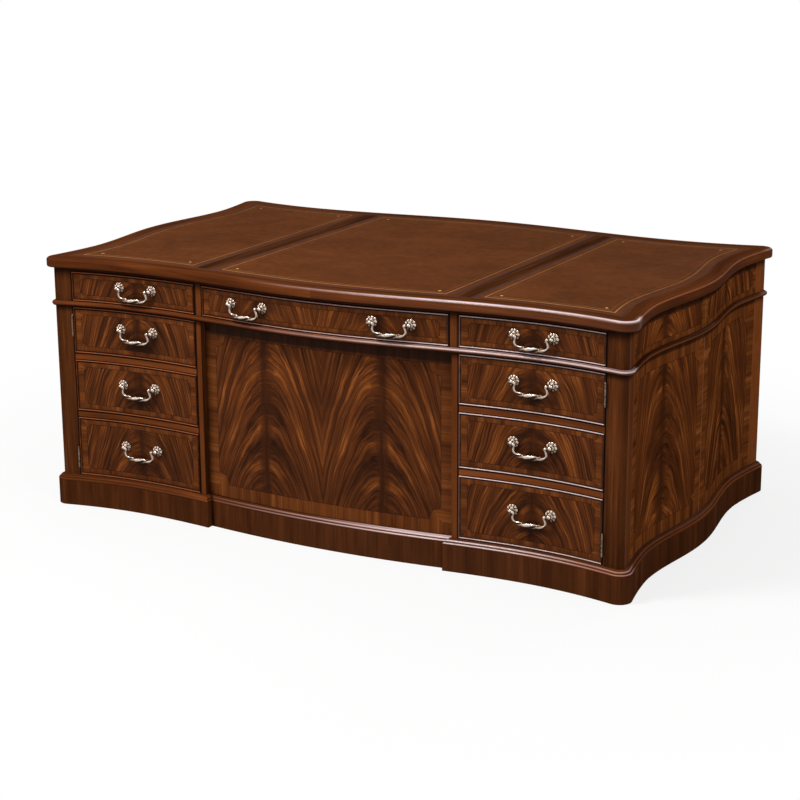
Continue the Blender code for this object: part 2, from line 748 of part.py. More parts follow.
def make_drawers(materials):
    """Three frieze drawers on each side, and two in each pedestal."""
    heights = (FRIEZE_FACE_BASE, FRIEZE_FACE_TOP)
    levels = (FRIEZE_OPENING_BASE, FRIEZE_OPENING_TOP)
    pull_z = (FRIEZE_FACE_BASE + FRIEZE_FACE_TOP) / 2 + FRIEZE_PULL_RISE
    span = (OPENING_INNER + REVEAL, OPENING_OUTER - REVEAL)
    centre = CENTRE_OPENING - REVEAL
    for side, length in (("front", FRIEZE_BOX_LENGTH), ("rear", REAR_BOX_LENGTH)):
        user_side = side == "rear"
        for place, hand in (("left", -1), ("right", 1)):
            local = -hand if user_side else hand
            pulls = [(local * OPENING_MIDDLE, pull_z, f"bail_{side}_{place}")]
            name = f"{side}_drawer_{place}"
            make_drawer(name, handed(*span, local), heights, length, REVEAL, levels, pulls, user_side, materials)
        pulls = []
        for place, hand in (("left", -1), ("right", 1)):
            local = -hand if user_side else hand
            pulls.append((local * CENTRE_PULL, pull_z, f"bail_{side}_centre_{place}"))
        name = f"{side}_drawer_centre"
        make_drawer(name, (-centre, centre), heights, length, REVEAL, levels, pulls, user_side, materials)

    floor = PLINTH_HEIGHT + CASE_BOARD
    ceiling = WAIST_BASE - CASE_BOARD
    inset = CASE_REBATE + REVEAL
    for place, hand in (("left", -1), ("right", 1)):
        pull_x = -hand * OPENING_MIDDLE
        tiers = (
            ("upper", (UPPER_FACE_BASE, DOOR_TOP), (UPPER_FACE_BASE - REVEAL, ceiling)),
            ("file", (DOOR_BASE, FILE_FACE_TOP), (floor, FILE_FACE_TOP + REVEAL)),
        )
        for tier, heights, levels in tiers:
            pull_z = sum(heights) / 2 + PEDESTAL_PULL_RISE
            pulls = [(pull_x, pull_z, f"bail_{tier}_{place}")]
            name = f"{tier}_drawer_{place}"
            make_drawer(name, handed(*span, -hand), heights, FILE_BOX_LENGTH, inset, levels, pulls, True, materials)


def add_leaf(bm, x_range, tangs, base, axis_y):
    """Hinge leaf: a plate behind the knuckles, with tangs out to its own."""
    plate_y = axis_y + KNUCKLE_RADIUS + FIT
    end_y = axis_y + KNUCKLE_RADIUS + LEAF_DEPTH
    tang_y = axis_y + (KNUCKLE_RADIUS + PIN_RADIUS + PIN_CLEARANCE) / 2
    outline = [(end_y, base), (end_y, base + HINGE_HEIGHT)]
    steps = []
    for low, high in tangs:
        steps += [(plate_y, low), (tang_y, low), (tang_y, high), (plate_y, high)]
    if tangs[0][0] > base:
        steps = [(plate_y, base)] + steps + [(plate_y, base + HINGE_HEIGHT)]
    else:
        steps = steps[1:-1]
    outline += reversed(steps)
    add_loft(bm, [[Vector((x, y, z)) for y, z in outline] for x in x_range])


def circle(centre, radius, z, sides):
    """Level ring of points."""
    angles = [math.tau * side / sides for side in range(sides)]
    return [Vector((centre[0] + radius * math.cos(a), centre[1] + radius * math.sin(a), z)) for a in angles]


def knuckle_levels(base):
    """Lower, middle and upper knuckles of a hinge, with the gaps between."""
    third = HINGE_HEIGHT / 3
    lower = (base, base + third - FIT)
    middle = (base + third, base + 2 * third)
    upper = (base + 2 * third + FIT, base + HINGE_HEIGHT)
    return lower, middle, upper


def make_hinge(place, level, base, hand, brass):
    """Fixed half of a butt hinge: its leaf, two knuckles and the pin."""
    axis = hinge_axis(hand)
    lower, middle, upper = knuckle_levels(base)
    steps = (
        (KNUCKLE_RADIUS, lower[0]),
        (KNUCKLE_RADIUS, lower[1]),
        (PIN_RADIUS, lower[1]),
        (PIN_RADIUS, upper[0]),
        (KNUCKLE_RADIUS, upper[0]),
        (KNUCKLE_RADIUS, upper[1]),
    )
    bm = bmesh.new()
    add_loft(bm, [circle(axis, radius, z, KNUCKLE_SIDES) for radius, z in steps])
    hinge = make_object(f"hinge_{place}_{level}", bm, brass)
    leaf = bmesh.new()
    x_range = handed(OPENING_OUTER, OPENING_OUTER + LEAF_THICKNESS, hand)
    add_leaf(leaf, x_range, (lower, upper), base, axis[1])
    combine(hinge, leaf, "UNION")


def make_door(place, hand, wood, brass):
    """Cupboard door with three false drawers, hinged at its outer edge."""
    x_range = handed(OPENING_INNER + REVEAL, OPENING_OUTER - REVEAL, hand)
    levels = (
        DOOR_BASE,
        DOOR_BASE + LOWER_FIELD,
        MIDDLE_FIELD_BASE,
        FILE_FACE_TOP,
        UPPER_FACE_BASE,
        DOOR_TOP,
    )
    bm = bmesh.new()
    plan = curved_plan(*x_range, 0, DOOR_THICKNESS)
    skin = add_loft(bm, [at_height(plan, z) for z in levels])
    bands = [skin[start:start + BOARD_SEGMENTS] for start in range(0, len(skin), len(plan))]
    for band in bands[::2]:
        raise_field(bm, band)
    axis = hinge_axis(hand)
    door = make_object(f"door_{place}", bm, wood, (*axis, DOOR_BASE))
    fittings = bmesh.new()
    for field, low, high in zip(("lower", "middle", "upper"), levels[::2], levels[1::2]):
        frame = front_frame(hand * OPENING_MIDDLE, (low + high) / 2 + PEDESTAL_PULL_RISE)
        add_rosettes(fittings, frame)
        make_bail(f"bail_door_{place}_{field}", frame, door, brass)
    knuckles = bmesh.new()
    leaf_x = handed(OPENING_OUTER - REVEAL - LEAF_THICKNESS, OPENING_OUTER - REVEAL + FIT, hand)
    bore = PIN_RADIUS + PIN_CLEARANCE
    for base in hinge_levels().values():
        low, high = knuckle_levels(base)[1]
        add_leaf(fittings, leaf_x, ((low, high),), base, axis[1])
        steps = ((KNUCKLE_RADIUS, low), (KNUCKLE_RADIUS, high), (bore, high), (bore, low))
        add_loft(knuckles, [circle(axis, radius, z, KNUCKLE_SIDES) for radius, z in steps], closed=True)
    combine(door, fittings, "UNION")
    combine(door, knuckles, "UNION")


def main():
    for item in list(bpy.data.objects):
        bpy.data.objects.remove(item, do_unlink=True)
    make_material("tool", (0.5, 0.5, 0.5), 0.5)
    mahogany = make_material("flame_mahogany", (0.11, 0.038, 0.014), 0.3)
    leather = make_material("tan_leather", (0.13, 0.042, 0.014), 0.45)
    maple = make_material("drawer_maple", (0.45, 0.29, 0.15), 0.5)
    brass = make_material("antique_brass", (0.55, 0.46, 0.34), 0.28, 1.0)
    make_top(mahogany, leather)
    make_frieze(mahogany)
    make_waist(mahogany)
    make_centre(mahogany)
    for place, hand in (("left", -1), ("right", 1)):
        make_pedestal(place, hand, mahogany)
        make_plinth(place, hand, mahogany)
        make_door(place, hand, mahogany, brass)
        for level, base in hinge_levels().items():
            make_hinge(place, level, base, hand, brass)
    make_drawers((mahogany, maple, brass))


main()
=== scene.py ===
"""Looks of the serpentine pedestal desk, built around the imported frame.

+X runs to the right along the visitor's side, -Y is the visitor's side with the
two cupboards and the closed panel, +Y is the user's side with the kneehole.
Every veneered face carries three coordinates in metres at its corners. "low" and
"high" are the distances from the lines that part its field from its border, and
"figure" is the place in the grain, with a seed as its third number.
"""

import math

import bmesh
import bpy
import numpy as np
from mathutils import Matrix, Vector


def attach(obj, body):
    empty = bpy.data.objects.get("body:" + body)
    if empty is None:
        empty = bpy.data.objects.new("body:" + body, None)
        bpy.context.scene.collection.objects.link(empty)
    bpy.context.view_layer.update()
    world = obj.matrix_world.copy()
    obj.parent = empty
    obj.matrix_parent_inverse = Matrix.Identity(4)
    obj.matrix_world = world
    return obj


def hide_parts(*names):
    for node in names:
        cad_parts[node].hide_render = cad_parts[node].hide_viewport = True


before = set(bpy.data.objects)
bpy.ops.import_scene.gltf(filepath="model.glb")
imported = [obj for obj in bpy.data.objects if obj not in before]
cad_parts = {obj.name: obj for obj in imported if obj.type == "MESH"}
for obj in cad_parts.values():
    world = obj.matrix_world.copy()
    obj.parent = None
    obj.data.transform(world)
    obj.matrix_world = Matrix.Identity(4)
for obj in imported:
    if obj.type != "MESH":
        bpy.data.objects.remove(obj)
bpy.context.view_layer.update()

SIDES = (("left", -1), ("right", 1))
FIT = 0.0003
OVERRUN = 0.02
PLINTH_TOP = 0.0955
WAIST_BASE = 0.6362
FRIEZE_BASE = 0.649
TOP_BASE = 0.759
DESK_TOP = 0.787

# Plan of the body, as in the frame
HALF_DEPTH = 0.5842
HALF_WIDTH = 0.9549
FRONT_HOLLOW = 0.0523
SIDE_HOLLOW = 0.0338
# Flares: share of the half length at which one starts, its reach and its power
FRONT_FLARE = (0.676, 0.0413, 1.99)
SIDE_FLARE = (0.603, 0.0347, 1.5)
CORNER_RADIUS = 0.018
CORNER_STEPS = 60
SLOPE_STEP = 0.0001
SIDE_STILE = 0.497
START = -HALF_DEPTH - OVERRUN

FRONT_SEGMENTS = 64
PEDESTAL_SEGMENTS = 40
SIDE_SEGMENTS = 72
CORNER_SEGMENTS = 10

PEDESTAL_INNER = 0.4175
OPENING_INNER = 0.436
OPENING_OUTER = 0.8833
OPENING_MIDDLE = (OPENING_INNER + OPENING_OUTER) / 2
CENTRE_OPENING = 0.4113
CASE_BOARD = 0.018
CASE_REBATE = 0.008
CUPBOARD_BACK = 0.018
SHELF_HEIGHT = 0.26
SHELF_THICKNESS = 0.016
DADO_DEPTH = 0.006
REVEAL = 0.0022
FACE_THICKNESS = 0.02
DOOR_THICKNESS = 0.022
FRIEZE_BOX_LENGTH = 0.3
REAR_BOX_LENGTH = 0.48
FILE_BOX_LENGTH = 0.56
BOX_END_CLEARANCE = 0.006

DOOR_BASE = 0.0977
LOWER_TOP = 0.2836
MIDDLE_BASE = 0.3067
MIDDLE_TOP = 0.4678
UPPER_BASE = 0.4909
DOOR_TOP = 0.634
FRIEZE_FACE = (0.6545, 0.7445)

PLINTH_PROJECTION = 0.019
PLINTH_BOARD = 0.045
PLINTH_BAYS = 3
BEARER_WIDTH = 0.03
SKIRTING_SETBACK = 0.0117
SKIRTING_BOW = 0.0287
SKIRTING_THICKNESS = 0.04
PANEL_THICKNESS = 0.018

LEATHER_MARGIN = 0.038
LEATHER_THICKNESS = 0.0015
LEATHER_SINK = 0.0002
STRIP_INNER = 0.39825
STRIP_OUTER = 0.45775

PULL_SPACING = 0.117
CENTRE_PULL = 0.239
FRIEZE_RISE = 0.0061
PEDESTAL_RISE = 0.0135
POST_REACH = 0.02
BAIL_DROP = 0.0335
BAIL_LEAN = 0.007
BAIL_RADIUS = 0.0036

HINGE_HEIGHT = 0.066
HINGE_INSET = 0.0235
KNUCKLE_RADIUS = 0.003
BEAD_PROUD = 0.0016
LEAF_THICKNESS = 0.0016
LEAF_DEPTH = 0.018

# Mouldings: how far out, how high, and painted light from painted shade (-1) to painted highlight (+1), at
# the front and on the sides
TOP_PROFILE = (
    (0.0040, 0.7593, -1.0, -1.0), (0.0046, 0.7582, -1.0, -1.0), (0.0120, 0.7580, -1.0, -1.0),
    (0.0170, 0.7581, -1.0, -0.9), (0.0192, 0.7587, -0.8, -0.4), (0.0204, 0.7599, -0.4, 0.25),
    (0.0212, 0.7616, -0.1, -0.1), (0.0215, 0.7640, 0.0, -0.2), (0.0215, 0.7700, 0.0, -0.12),
    (0.0215, 0.7784, 0.0, -0.05), (0.0214, 0.7798, -0.1, -0.1), (0.0209, 0.7812, 0.15, -0.1),
    (0.0199, 0.7828, 0.15, 0.1), (0.0186, 0.7842, 0.6, 0.9), (0.0172, 0.7854, 0.9, 0.9),
    (0.0152, 0.7864, 1.0, 0.1), (0.0132, 0.7869, 0.4, -0.1), (0.0112, 0.7870, 0.0, 0.0),
    (0.0060, 0.7870, 0.0, 0.0),
)
WAIST_PROFILE = (
    (0.0000, 0.6365, -1.0, -1.0), (0.0045, 0.6368, -1.0, -1.0), (0.0078, 0.6384, -1.0, -0.9),
    (0.0096, 0.6406, -0.8, -0.2), (0.0106, 0.6430, -0.3, 0.3), (0.0108, 0.6446, 0.1, 0.4),
    (0.0106, 0.6460, 0.5, 0.1), (0.0100, 0.6474, 0.8, -0.2), (0.0088, 0.6487, 0.75, -0.3),
    (0.0072, 0.6496, 0.4, -0.4), (0.0062, 0.6501, 0.1, -0.6), (0.0054, 0.6507, 0.1, -0.6),
    (0.0042, 0.6515, 0.4, -0.3), (0.0026, 0.6520, 0.2, -0.2), (0.0008, 0.6522, -0.6, -0.6),
)
PLINTH_PROFILE = (
    (0.0190, 0.0000, 0.0, 0.0), (0.0190, 0.0770, 0.0, 0.0), (0.0190, 0.0790, -0.5, -0.3),
    (0.0189, 0.0804, -0.45, -0.2), (0.0185, 0.0819, 0.1, 0.1), (0.0177, 0.0833, 0.8, 0.4),
    (0.0164, 0.0844, 0.9, 0.1), (0.0149, 0.0850, 0.2, -0.1), (0.0137, 0.0854, -0.3, -0.3),
    (0.0130, 0.0862, -0.3, -0.3), (0.0128, 0.0874, -0.1, -0.1), (0.0122, 0.0888, 0.4, 0.3),
    (0.0110, 0.0902, 1.0, 0.5), (0.0093, 0.0913, 0.7, 0.1), (0.0074, 0.0922, -0.1, -0.1),
    (0.0056, 0.0930, -0.2, -0.1), (0.0040, 0.0937, 0.1, -0.2), (0.0028, 0.0944, -0.2, -0.4),
    (0.0020, 0.0950, -0.6, -0.7), (0.0012, 0.0955, -1.0, -1.0),
)
# Cockbead: distance in from the edge, height, and painted light from painted shade to painted highlight
BEAD_PROFILE = (
    (0.0000, -0.0012, -1.0), (0.0003, -0.0002, -0.6), (0.0006, 0.0008, 0.4), (0.0011, 0.0014, 1.0),
    (0.0019, 0.0017, 1.0), (0.0027, 0.0014, 1.0), (0.0032, 0.0008, 0.5), (0.0036, 0.0000, -0.5),
    (0.0039, -0.0006, -1.0), (0.0070, -0.0006, -1.0), (0.0080, 0.0000, -0.4),
)
BEAD_WIDTH = BEAD_PROFILE[-1][0]


def wave(along, crest, hollow, end, share, flare, power):
    """Half a serpentine side: crest, hollow and flare to the corner."""
    along = abs(along)
    hollow_at = end * share
    swing = math.pi * min(along, hollow_at) / hollow_at
    line = crest - hollow * (1 - math.cos(swing)) / 2
    if along > hollow_at:
        line += flare * ((along - hollow_at) / (end - hollow_at)) ** power
    return line


def front_line(x):
    """Distance of the front, or the back, from the middle of the desk."""
    return wave(x, HALF_DEPTH, FRONT_HOLLOW, HALF_WIDTH, *FRONT_FLARE)


def side_line(y):
    """Distance of either side from the middle of the desk."""
    return wave(y, HALF_WIDTH, SIDE_HOLLOW, HALF_DEPTH, *SIDE_FLARE)


def slope(line, along):
    """Slope of a line, from two points close by."""
    return (line(along + SLOPE_STEP) - line(along - SLOPE_STEP)) / (2 * SLOPE_STEP)


def foot(line, along, across):
    """Place on the line nearest to a point beside it."""
    place = along
    for _ in range(CORNER_STEPS):
        place = along - (line(place) - across) * slope(line, place)
    return place


def corner_arc():
    """Centre of the corner's arc, and where it meets the front and the side."""
    x = HALF_WIDTH - CORNER_RADIUS
    y = HALF_DEPTH - CORNER_RADIUS
    for _ in range(CORNER_STEPS):
        front_end = foot(front_line, x, y)
        side_end = foot(side_line, y, x)
        y += math.hypot(front_end - x, front_line(front_end) - y) - CORNER_RADIUS
        x += math.hypot(side_end - y, side_line(side_end) - x) - CORNER_RADIUS
    return x, y, front_end, side_end


CORNER_X, CORNER_Y, FRONT_END, SIDE_END = corner_arc()


def spread(start, end, segments):
    """Evenly spaced values from start to end."""
    return [start + (end - start) * step / segments for step in range(segments + 1)]


def beside(line, along, out):
    """Point at a distance square to the line: its place along and across."""
    lean = slope(line, along)
    reach = out / math.hypot(1, lean)
    return along - lean * reach, line(along) + reach


def stations(start, end, segments, marks=()):
    """Spread values, with the nearest one moved on to each mark."""
    values = spread(start, end, segments)
    for mark in marks:
        nearest = min(range(1, segments), key=lambda i: abs(values[i] - mark))
        values[nearest] = mark
    return values


def half_outline(inner, out, segments, marks=()):
    """Right part of the body, from x = inner, as a loop seen from above."""
    start = inner
    for _ in range(CORNER_STEPS):
        start += inner - beside(front_line, start, out)[0]
    front = [beside(front_line, x, out) for x in stations(start, FRONT_END, segments, marks)]
    first = math.atan2(CORNER_Y - front_line(FRONT_END), FRONT_END - CORNER_X)
    last = math.atan2(CORNER_Y - SIDE_END, side_line(SIDE_END) - CORNER_X)
    radius = CORNER_RADIUS + out
    arc = [(CORNER_X + radius * math.cos(a), radius * math.sin(a) - CORNER_Y)
           for a in spread(first, last, CORNER_SEGMENTS)]
    quarter = [(x, -y) for x, y in front] + arc[1:]
    places = stations(-SIDE_END, SIDE_END, SIDE_SEGMENTS, (-SIDE_STILE, 0, SIDE_STILE))
    side = [beside(side_line, y, out) for y in places]
    return quarter + [(x, y) for y, x in side][1:-1] + [(x, -y) for x, y in reversed(quarter)]


def full_outline(out, marks=()):
    """The whole body, as a loop seen from above."""
    right = half_outline(0, out, FRONT_SEGMENTS, marks)
    return right + [(-x, y) for x, y in reversed(right[1:-1])]


def mirrored(points):
    """Plan mirrored to the other hand, still running the same way round."""
    return [(-x, y) for x, y in reversed(points)]


def handed(x_from, x_to, hand):
    """A range on the right, or its mirror image on the left."""
    return (x_from, x_to) if hand > 0 else (-x_to, -x_from)


def arc_table(line, reach):
    """Lengths along a line from its middle, at places across it."""
    places = np.linspace(0, reach, 400)
    across = np.array([line(place) for place in places])
    steps = np.hypot(np.diff(places), np.diff(across))
    return places, np.concatenate(([0.0], np.cumsum(steps)))


FRONT_ARC = arc_table(front_line, HALF_WIDTH)
SIDE_ARC = arc_table(side_line, HALF_DEPTH)


def arc(table, place):
    """Length along a line from its middle, with the place's sign."""
    return math.copysign(np.interp(abs(place), *table), place)


def loop_lengths(points):
    """Length along a closed plan at each point, and once more at its start."""
    ring = np.array(points + points[:1])
    return np.concatenate(([0.0], np.cumsum(np.hypot(*np.diff(ring, axis=0).T))))


# Shader building

class Value:
    """A number in a shader, on which arithmetic makes the next nodes."""

    def __init__(self, nodes, socket):
        self.nodes = nodes
        self.socket = socket

    def __add__(self, other):
        return self.nodes.math("ADD", self, other)

    def __sub__(self, other):
        return self.nodes.math("SUBTRACT", self, other)

    def __rsub__(self, other):
        return self.nodes.math("SUBTRACT", other, self)

    def __mul__(self, other):
        return self.nodes.math("MULTIPLY", self, other)

    def __truediv__(self, other):
        return self.nodes.math("DIVIDE", self, other)

    def __abs__(self):
        return self.nodes.math("ABSOLUTE", self)


class Nodes:
    """The node tree of a material or a world, with a short way to add to it."""

    def __init__(self, owner, shader="Principled BSDF"):
        owner.use_nodes = True
        self.owner = owner
        self.tree = owner.node_tree
        self.shader = self.tree.nodes[shader]

    def put(self, socket, value):
        """Link or set an input; three numbers are a screen colour from 0 to 255."""
        if isinstance(value, Value):
            self.tree.links.new(value.socket, socket)
            return
        if isinstance(value, tuple) and len(value) == 3:
            value = (*linear(value), 1.0)
        socket.default_value = value

    def add(self, kind, inputs, output=0, **settings):
        """A node with its settings and inputs, by name or by place."""
        node = self.tree.nodes.new(f"ShaderNode{kind}")
        for name, value in settings.items():
            setattr(node, name, value)
        for key, value in (inputs if isinstance(inputs, dict) else dict(enumerate(inputs))).items():
            self.put(node.inputs[key], value)
        return Value(self, node.outputs[output])

    def math(self, operation, *values):
        return self.add("Math", values, operation=operation)

    def least(self, first, *others):
        for other in others:
            first = self.math("MINIMUM", first, other)
        return first

    def most(self, first, *others):
        for other in others:
            first = self.math("MAXIMUM", first, other)
        return first

    def attribute(self, name):
        return self.add("Attribute", (), "Vector", attribute_name=name)

    def split(self, vector):
        """The three numbers of a vector."""
        return [Value(self, socket) for socket in self.add("SeparateXYZ", (vector,)).socket.node.outputs]

    def marks(self, name):
        return self.split(self.attribute(name))

    def noise(self, place, detail, roughness, scale=1.0, distortion=0.0):
        if isinstance(place, tuple):
            place = self.add("CombineXYZ", place)
        inputs = {"Scale": scale, "Detail": detail, "Roughness": roughness, "Distortion": distortion}
        return self.add("TexNoise", {"Vector": place, **inputs}, "Fac")

    def span(self, value, low, high, to_low=0.0, to_high=1.0, smooth=False):
        """A value's place in a range, carried over to another range."""
        kind = "SMOOTHSTEP" if smooth else "LINEAR"
        return self.add("MapRange", (value, low, high, to_low, to_high), interpolation_type=kind)

    def ramp(self, value, stops):
        colour = self.add("ValToRGB", (value,))
        elements = colour.socket.node.color_ramp.elements
        while len(elements) < len(stops):
            elements.new(0.5)
        for element, (place, shown) in zip(elements, stops):
            element.position = place
            element.color = (*linear(shown), 1.0)
        return colour

    def mix(self, factor, first, second, blend="MIX"):
        return self.add("Mix", {0: factor, 6: first, 7: second}, 2, data_type="RGBA", blend_type=blend)

    def bump(self, height, strength, distance):
        normal = self.add("Bump", {"Height": height, "Strength": strength, "Distance": distance})
        self.put(self.shader.inputs["Normal"], normal)

    def finish(self, colour, roughness, **settings):
        """Set the shader, and return the material."""
        for name, value in {"Base_Color": colour, "Roughness": roughness, **settings}.items():
            self.put(self.shader.inputs[name.replace("_", " ")], value)
        return self.owner


def linear(colour):
    """Screen colour from 0 to 255, as the renderer's numbers."""
    shares = [value / 255 for value in colour]
    return [share / 12.92 if share <= 0.04045 else ((share + 0.055) / 1.055) ** 2.4 for share in shares]


def material(name):
    """Nodes of a new material."""
    return Nodes(bpy.data.materials.new(name))


def grain(n, along, across, seed, fine=1.0):
    """Straight grain from 0 to 1: broad ribbons and fibres."""
    ribbon = n.noise((along * 1.6, across * (26 * fine), seed), 3, 0.6)
    fibre = n.noise((along * 6, across * (190 * fine), seed), 3, 0.6)
    return ribbon * 0.66 + fibre * 0.34


def pores(n, along, across, seed):
    """Pores from 0 to 1, short along the grain and very narrow across it."""
    return n.span(n.noise((along * 130, across * 1500, seed), 2, 0.5), 0.56, 0.70, smooth=True)


PORE = (30, 14, 8)
STRING = (22, 11, 8)
# Colour of the painted shadow on flame veneer
SHADOW_COLOUR = (20, 12, 9)
# Pale line along the outer edges of the side panels
PALE_EDGE = (138, 92, 64)
# Painted light: the sides' colour is multiplied brighter than the fronts'
SIDE_PAINTED_LIGHT = (1.25, 1.32, 1.38, 1.0)
FRONT_TINT = (1.0, 1.05, 1.06, 1.0)
# Heights over which the painted shadow under the top and the waist moulding fades, on the sides
FRIEZE_SHADOW_HEIGHTS = (0.7305, 0.738)
WAIST_SHADOW_HEIGHTS = (0.6205, 0.626)


def flame_veneer():
    """Crotch veneer in a field, inside a crossbanded border with dark stringing; painted light makes the
    sides brighter, and painted shadow lies under the overhangs on the sides, round the pulls and on the
    closed panel.
    """
    n = material("flame_veneer")
    low, high = n.marks("low"), n.marks("high")
    fx, fz, seed = n.marks("figure")
    dx, dz = n.least(low[0], high[0]), n.least(low[1], high[1])
    notch = n.math("SQRT", dx * dx + dz * dz) - high[2]
    field = n.least(dx, dz, notch)
    inside = n.span(field, -0.0002, 0.0002)
    string_and_shade_line = 1.0 - n.span(abs(field), 0.0006, 0.0012)

    away = abs(fx)
    wander = (n.noise((fx * 5, fz * 4, seed), 2, 0.5) - 0.5) * 0.10
    ripple = (n.noise((fx * 26, fz * 18, seed), 2, 0.5) - 0.5) * 0.022
    level = (fz + (away * 0.06 + away * away * 10.5)) + (wander + ripple)
    broad = n.noise((level * 18, away * 6, seed), 2, 0.5)
    streak = n.noise((level * 60, away * 11, seed), 2, 0.6)
    fibre = n.noise((level * 150, away * 20, seed), 3, 0.6)
    cover = n.span(n.noise((fx * 16, fz * 16, seed + 9), 2, 0.5), 0.35, 0.65, 0.35, 1.0)
    streak = (streak - 0.5) * cover + 0.5
    flame = n.span(broad * 0.32 + streak * 0.42 + fibre * 0.26, 0.38, 0.62)

    ragged = n.noise((fx * 24, fz * 11, seed), 3, 0.6)
    heart = away / n.span(ragged, 0.3, 0.7, 0.006, 0.028)
    heart = n.math("EXPONENT", heart * heart * -1.0) * 0.75
    curl = n.span(n.noise((fx * 75, fz * 9, seed), 4, 0.6, distortion=0.8), 0.3, 0.8, 0.0, 0.42)
    flame = flame * (1.0 - heart) + curl * heart
    patch = n.noise((fx * 7, fz * 7, seed), 2, 0.5)
    flame = flame * n.span(patch, 0.3, 0.7, 0.78, 1.12)
    figured = n.ramp(flame, (
        (0.00, (36, 17, 7)), (0.26, (56, 27, 11)), (0.50, (79, 39, 16)),
        (0.74, (107, 56, 22)), (1.00, (148, 83, 38)),
    ))

    upright = n.span(dz - dx, -0.0002, 0.0002)
    level_way = 1.0 - upright
    across = fz * upright + fx * level_way
    along = fx * upright + fz * level_way
    banded = n.ramp(n.span(grain(n, along, across, seed + 3.7, 1.5), 0.32, 0.68), (
        (0.00, (55, 26, 11)), (0.40, (82, 41, 16)), (0.70, (102, 53, 21)), (1.00, (126, 70, 32)),
    ))
    tiny = pores(n, along + level, across, seed)
    colour = n.mix(tiny * 0.35, n.mix(inside, banded, figured), PORE)
    colour = n.mix(string_and_shade_line * 0.62, colour, STRING)
    # Pale line along a side panel's outer edges
    outer = 1.0 - n.span(dx + low[2], 0.0010, 0.0016)
    colour = n.mix(outer * 0.6, colour, PALE_EDGE)
    front = n.math("GREATER_THAN", low[2], 0.5)
    # Painted light: the sides are multiplied brighter than the fronts
    colour = n.mix(1.0, colour, n.mix(front, SIDE_PAINTED_LIGHT, FRONT_TINT), "MULTIPLY")
    # Painted shadow under the top and the waist moulding on the sides; on the fronts, painted shadow round
    # the pulls and on the closed panel
    height = n.split(n.add("TexCoord", (), "Object"))[2]
    frieze = n.span(height, *FRIEZE_SHADOW_HEIGHTS) * n.math("LESS_THAN", height, TOP_BASE + 0.0015)
    waist = n.span(height, *WAIST_SHADOW_HEIGHTS) * n.math("LESS_THAN", height, WAIST_BASE + 0.002)
    overhang = n.most(frieze, waist * 0.9) * (1.0 - front)
    painted_shadow = n.most(low[2] - 1.0, 0.0) * front
    colour = n.mix(n.most(overhang, painted_shadow) * 0.85, colour, SHADOW_COLOUR)
    n.bump(1.0 - n.most(tiny, string_and_shade_line), 0.25, 0.00015)
    roughness = n.span(flame, 0.0, 1.0, 0.34, 0.27)
    return n.finish(colour, roughness, Coat_Weight=front * 0.05, Specular_IOR_Level=0.0, Coat_Roughness=0.2)


# Colour of the palest painted highlight on arrises
PALE_HIGHLIGHT = (236, 212, 210)
# Greyish colour of the band along the leather's edges and the strips' edges
GREY_BAND = (84, 68, 66)


def plain_veneer(name, stops, highlight_colour, coat=0.04, coat_roughness=0.2, shade_line_width=0.006):
    """Straight-grained wood, with painted shade in quirks, under overhangs and beside openings, and painted
    highlights on arrises.
    """
    n = material(name)
    along, across, seed = n.marks("figure")
    line, second, shade = n.marks("low")
    painted_light, highlight_paleness, grey_band = n.marks("high")
    patch = n.noise((along * 3, across * 9, seed), 2, 0.5)
    value = n.span(grain(n, along, across, seed), 0.30, 0.70) * n.span(patch, 0.3, 0.7, 0.75, 1.15)
    tiny = pores(n, along, across, seed)
    colour = n.mix(tiny * 0.3, n.ramp(value, stops), PORE)
    # Painted highlight where the first high mark is above 0, broken up by noise; painted shade in quirks
    # and under overhangs where it is below 0
    rub_and_painted_light = n.span(n.noise((along * 14, across * 60, seed), 3, 0.6), 0.3, 0.7, 0.68, 1.0)
    colour = n.mix(n.most(painted_light, 0.0) * rub_and_painted_light, colour, n.mix(highlight_paleness, highlight_colour, PALE_HIGHLIGHT))
    colour = n.mix(n.most(painted_light * -1.0, 0.0) * 0.9, colour, (15, 8, 6))
    # Dark line of painted shade beside the openings, and inside them behind the front edge
    string_and_shade_line = 1.0 - n.span(n.least(line, second), shade_line_width, shade_line_width + 0.0006)
    colour = n.mix(string_and_shade_line * 0.8, colour, (27, 18, 17))
    # Greyish band along the leather's edges and the strips' edges
    colour = n.mix(n.span(grey_band, 0.0, 1.0, 0.0, 0.62, smooth=True), colour, GREY_BAND)
    colour = n.mix(n.span(shade, 0.0, 1.0, 0.0, 0.82, smooth=True), colour, (20, 12, 10))
    n.bump(1.0 - tiny, 0.2, 0.00015)
    roughness = n.span(patch, 0.3, 0.7, 0.28, 0.36)
    return n.finish(colour, roughness, Coat_Weight=n.most(highlight_paleness, 0.12) * coat, Specular_IOR_Level=0.0,
                    Coat_Roughness=coat_roughness)


BROAD_LINE = (0.0225, 0.0019)
FINE_LINE = (0.0385, 0.0007)
STAMP_PLACE = 0.056


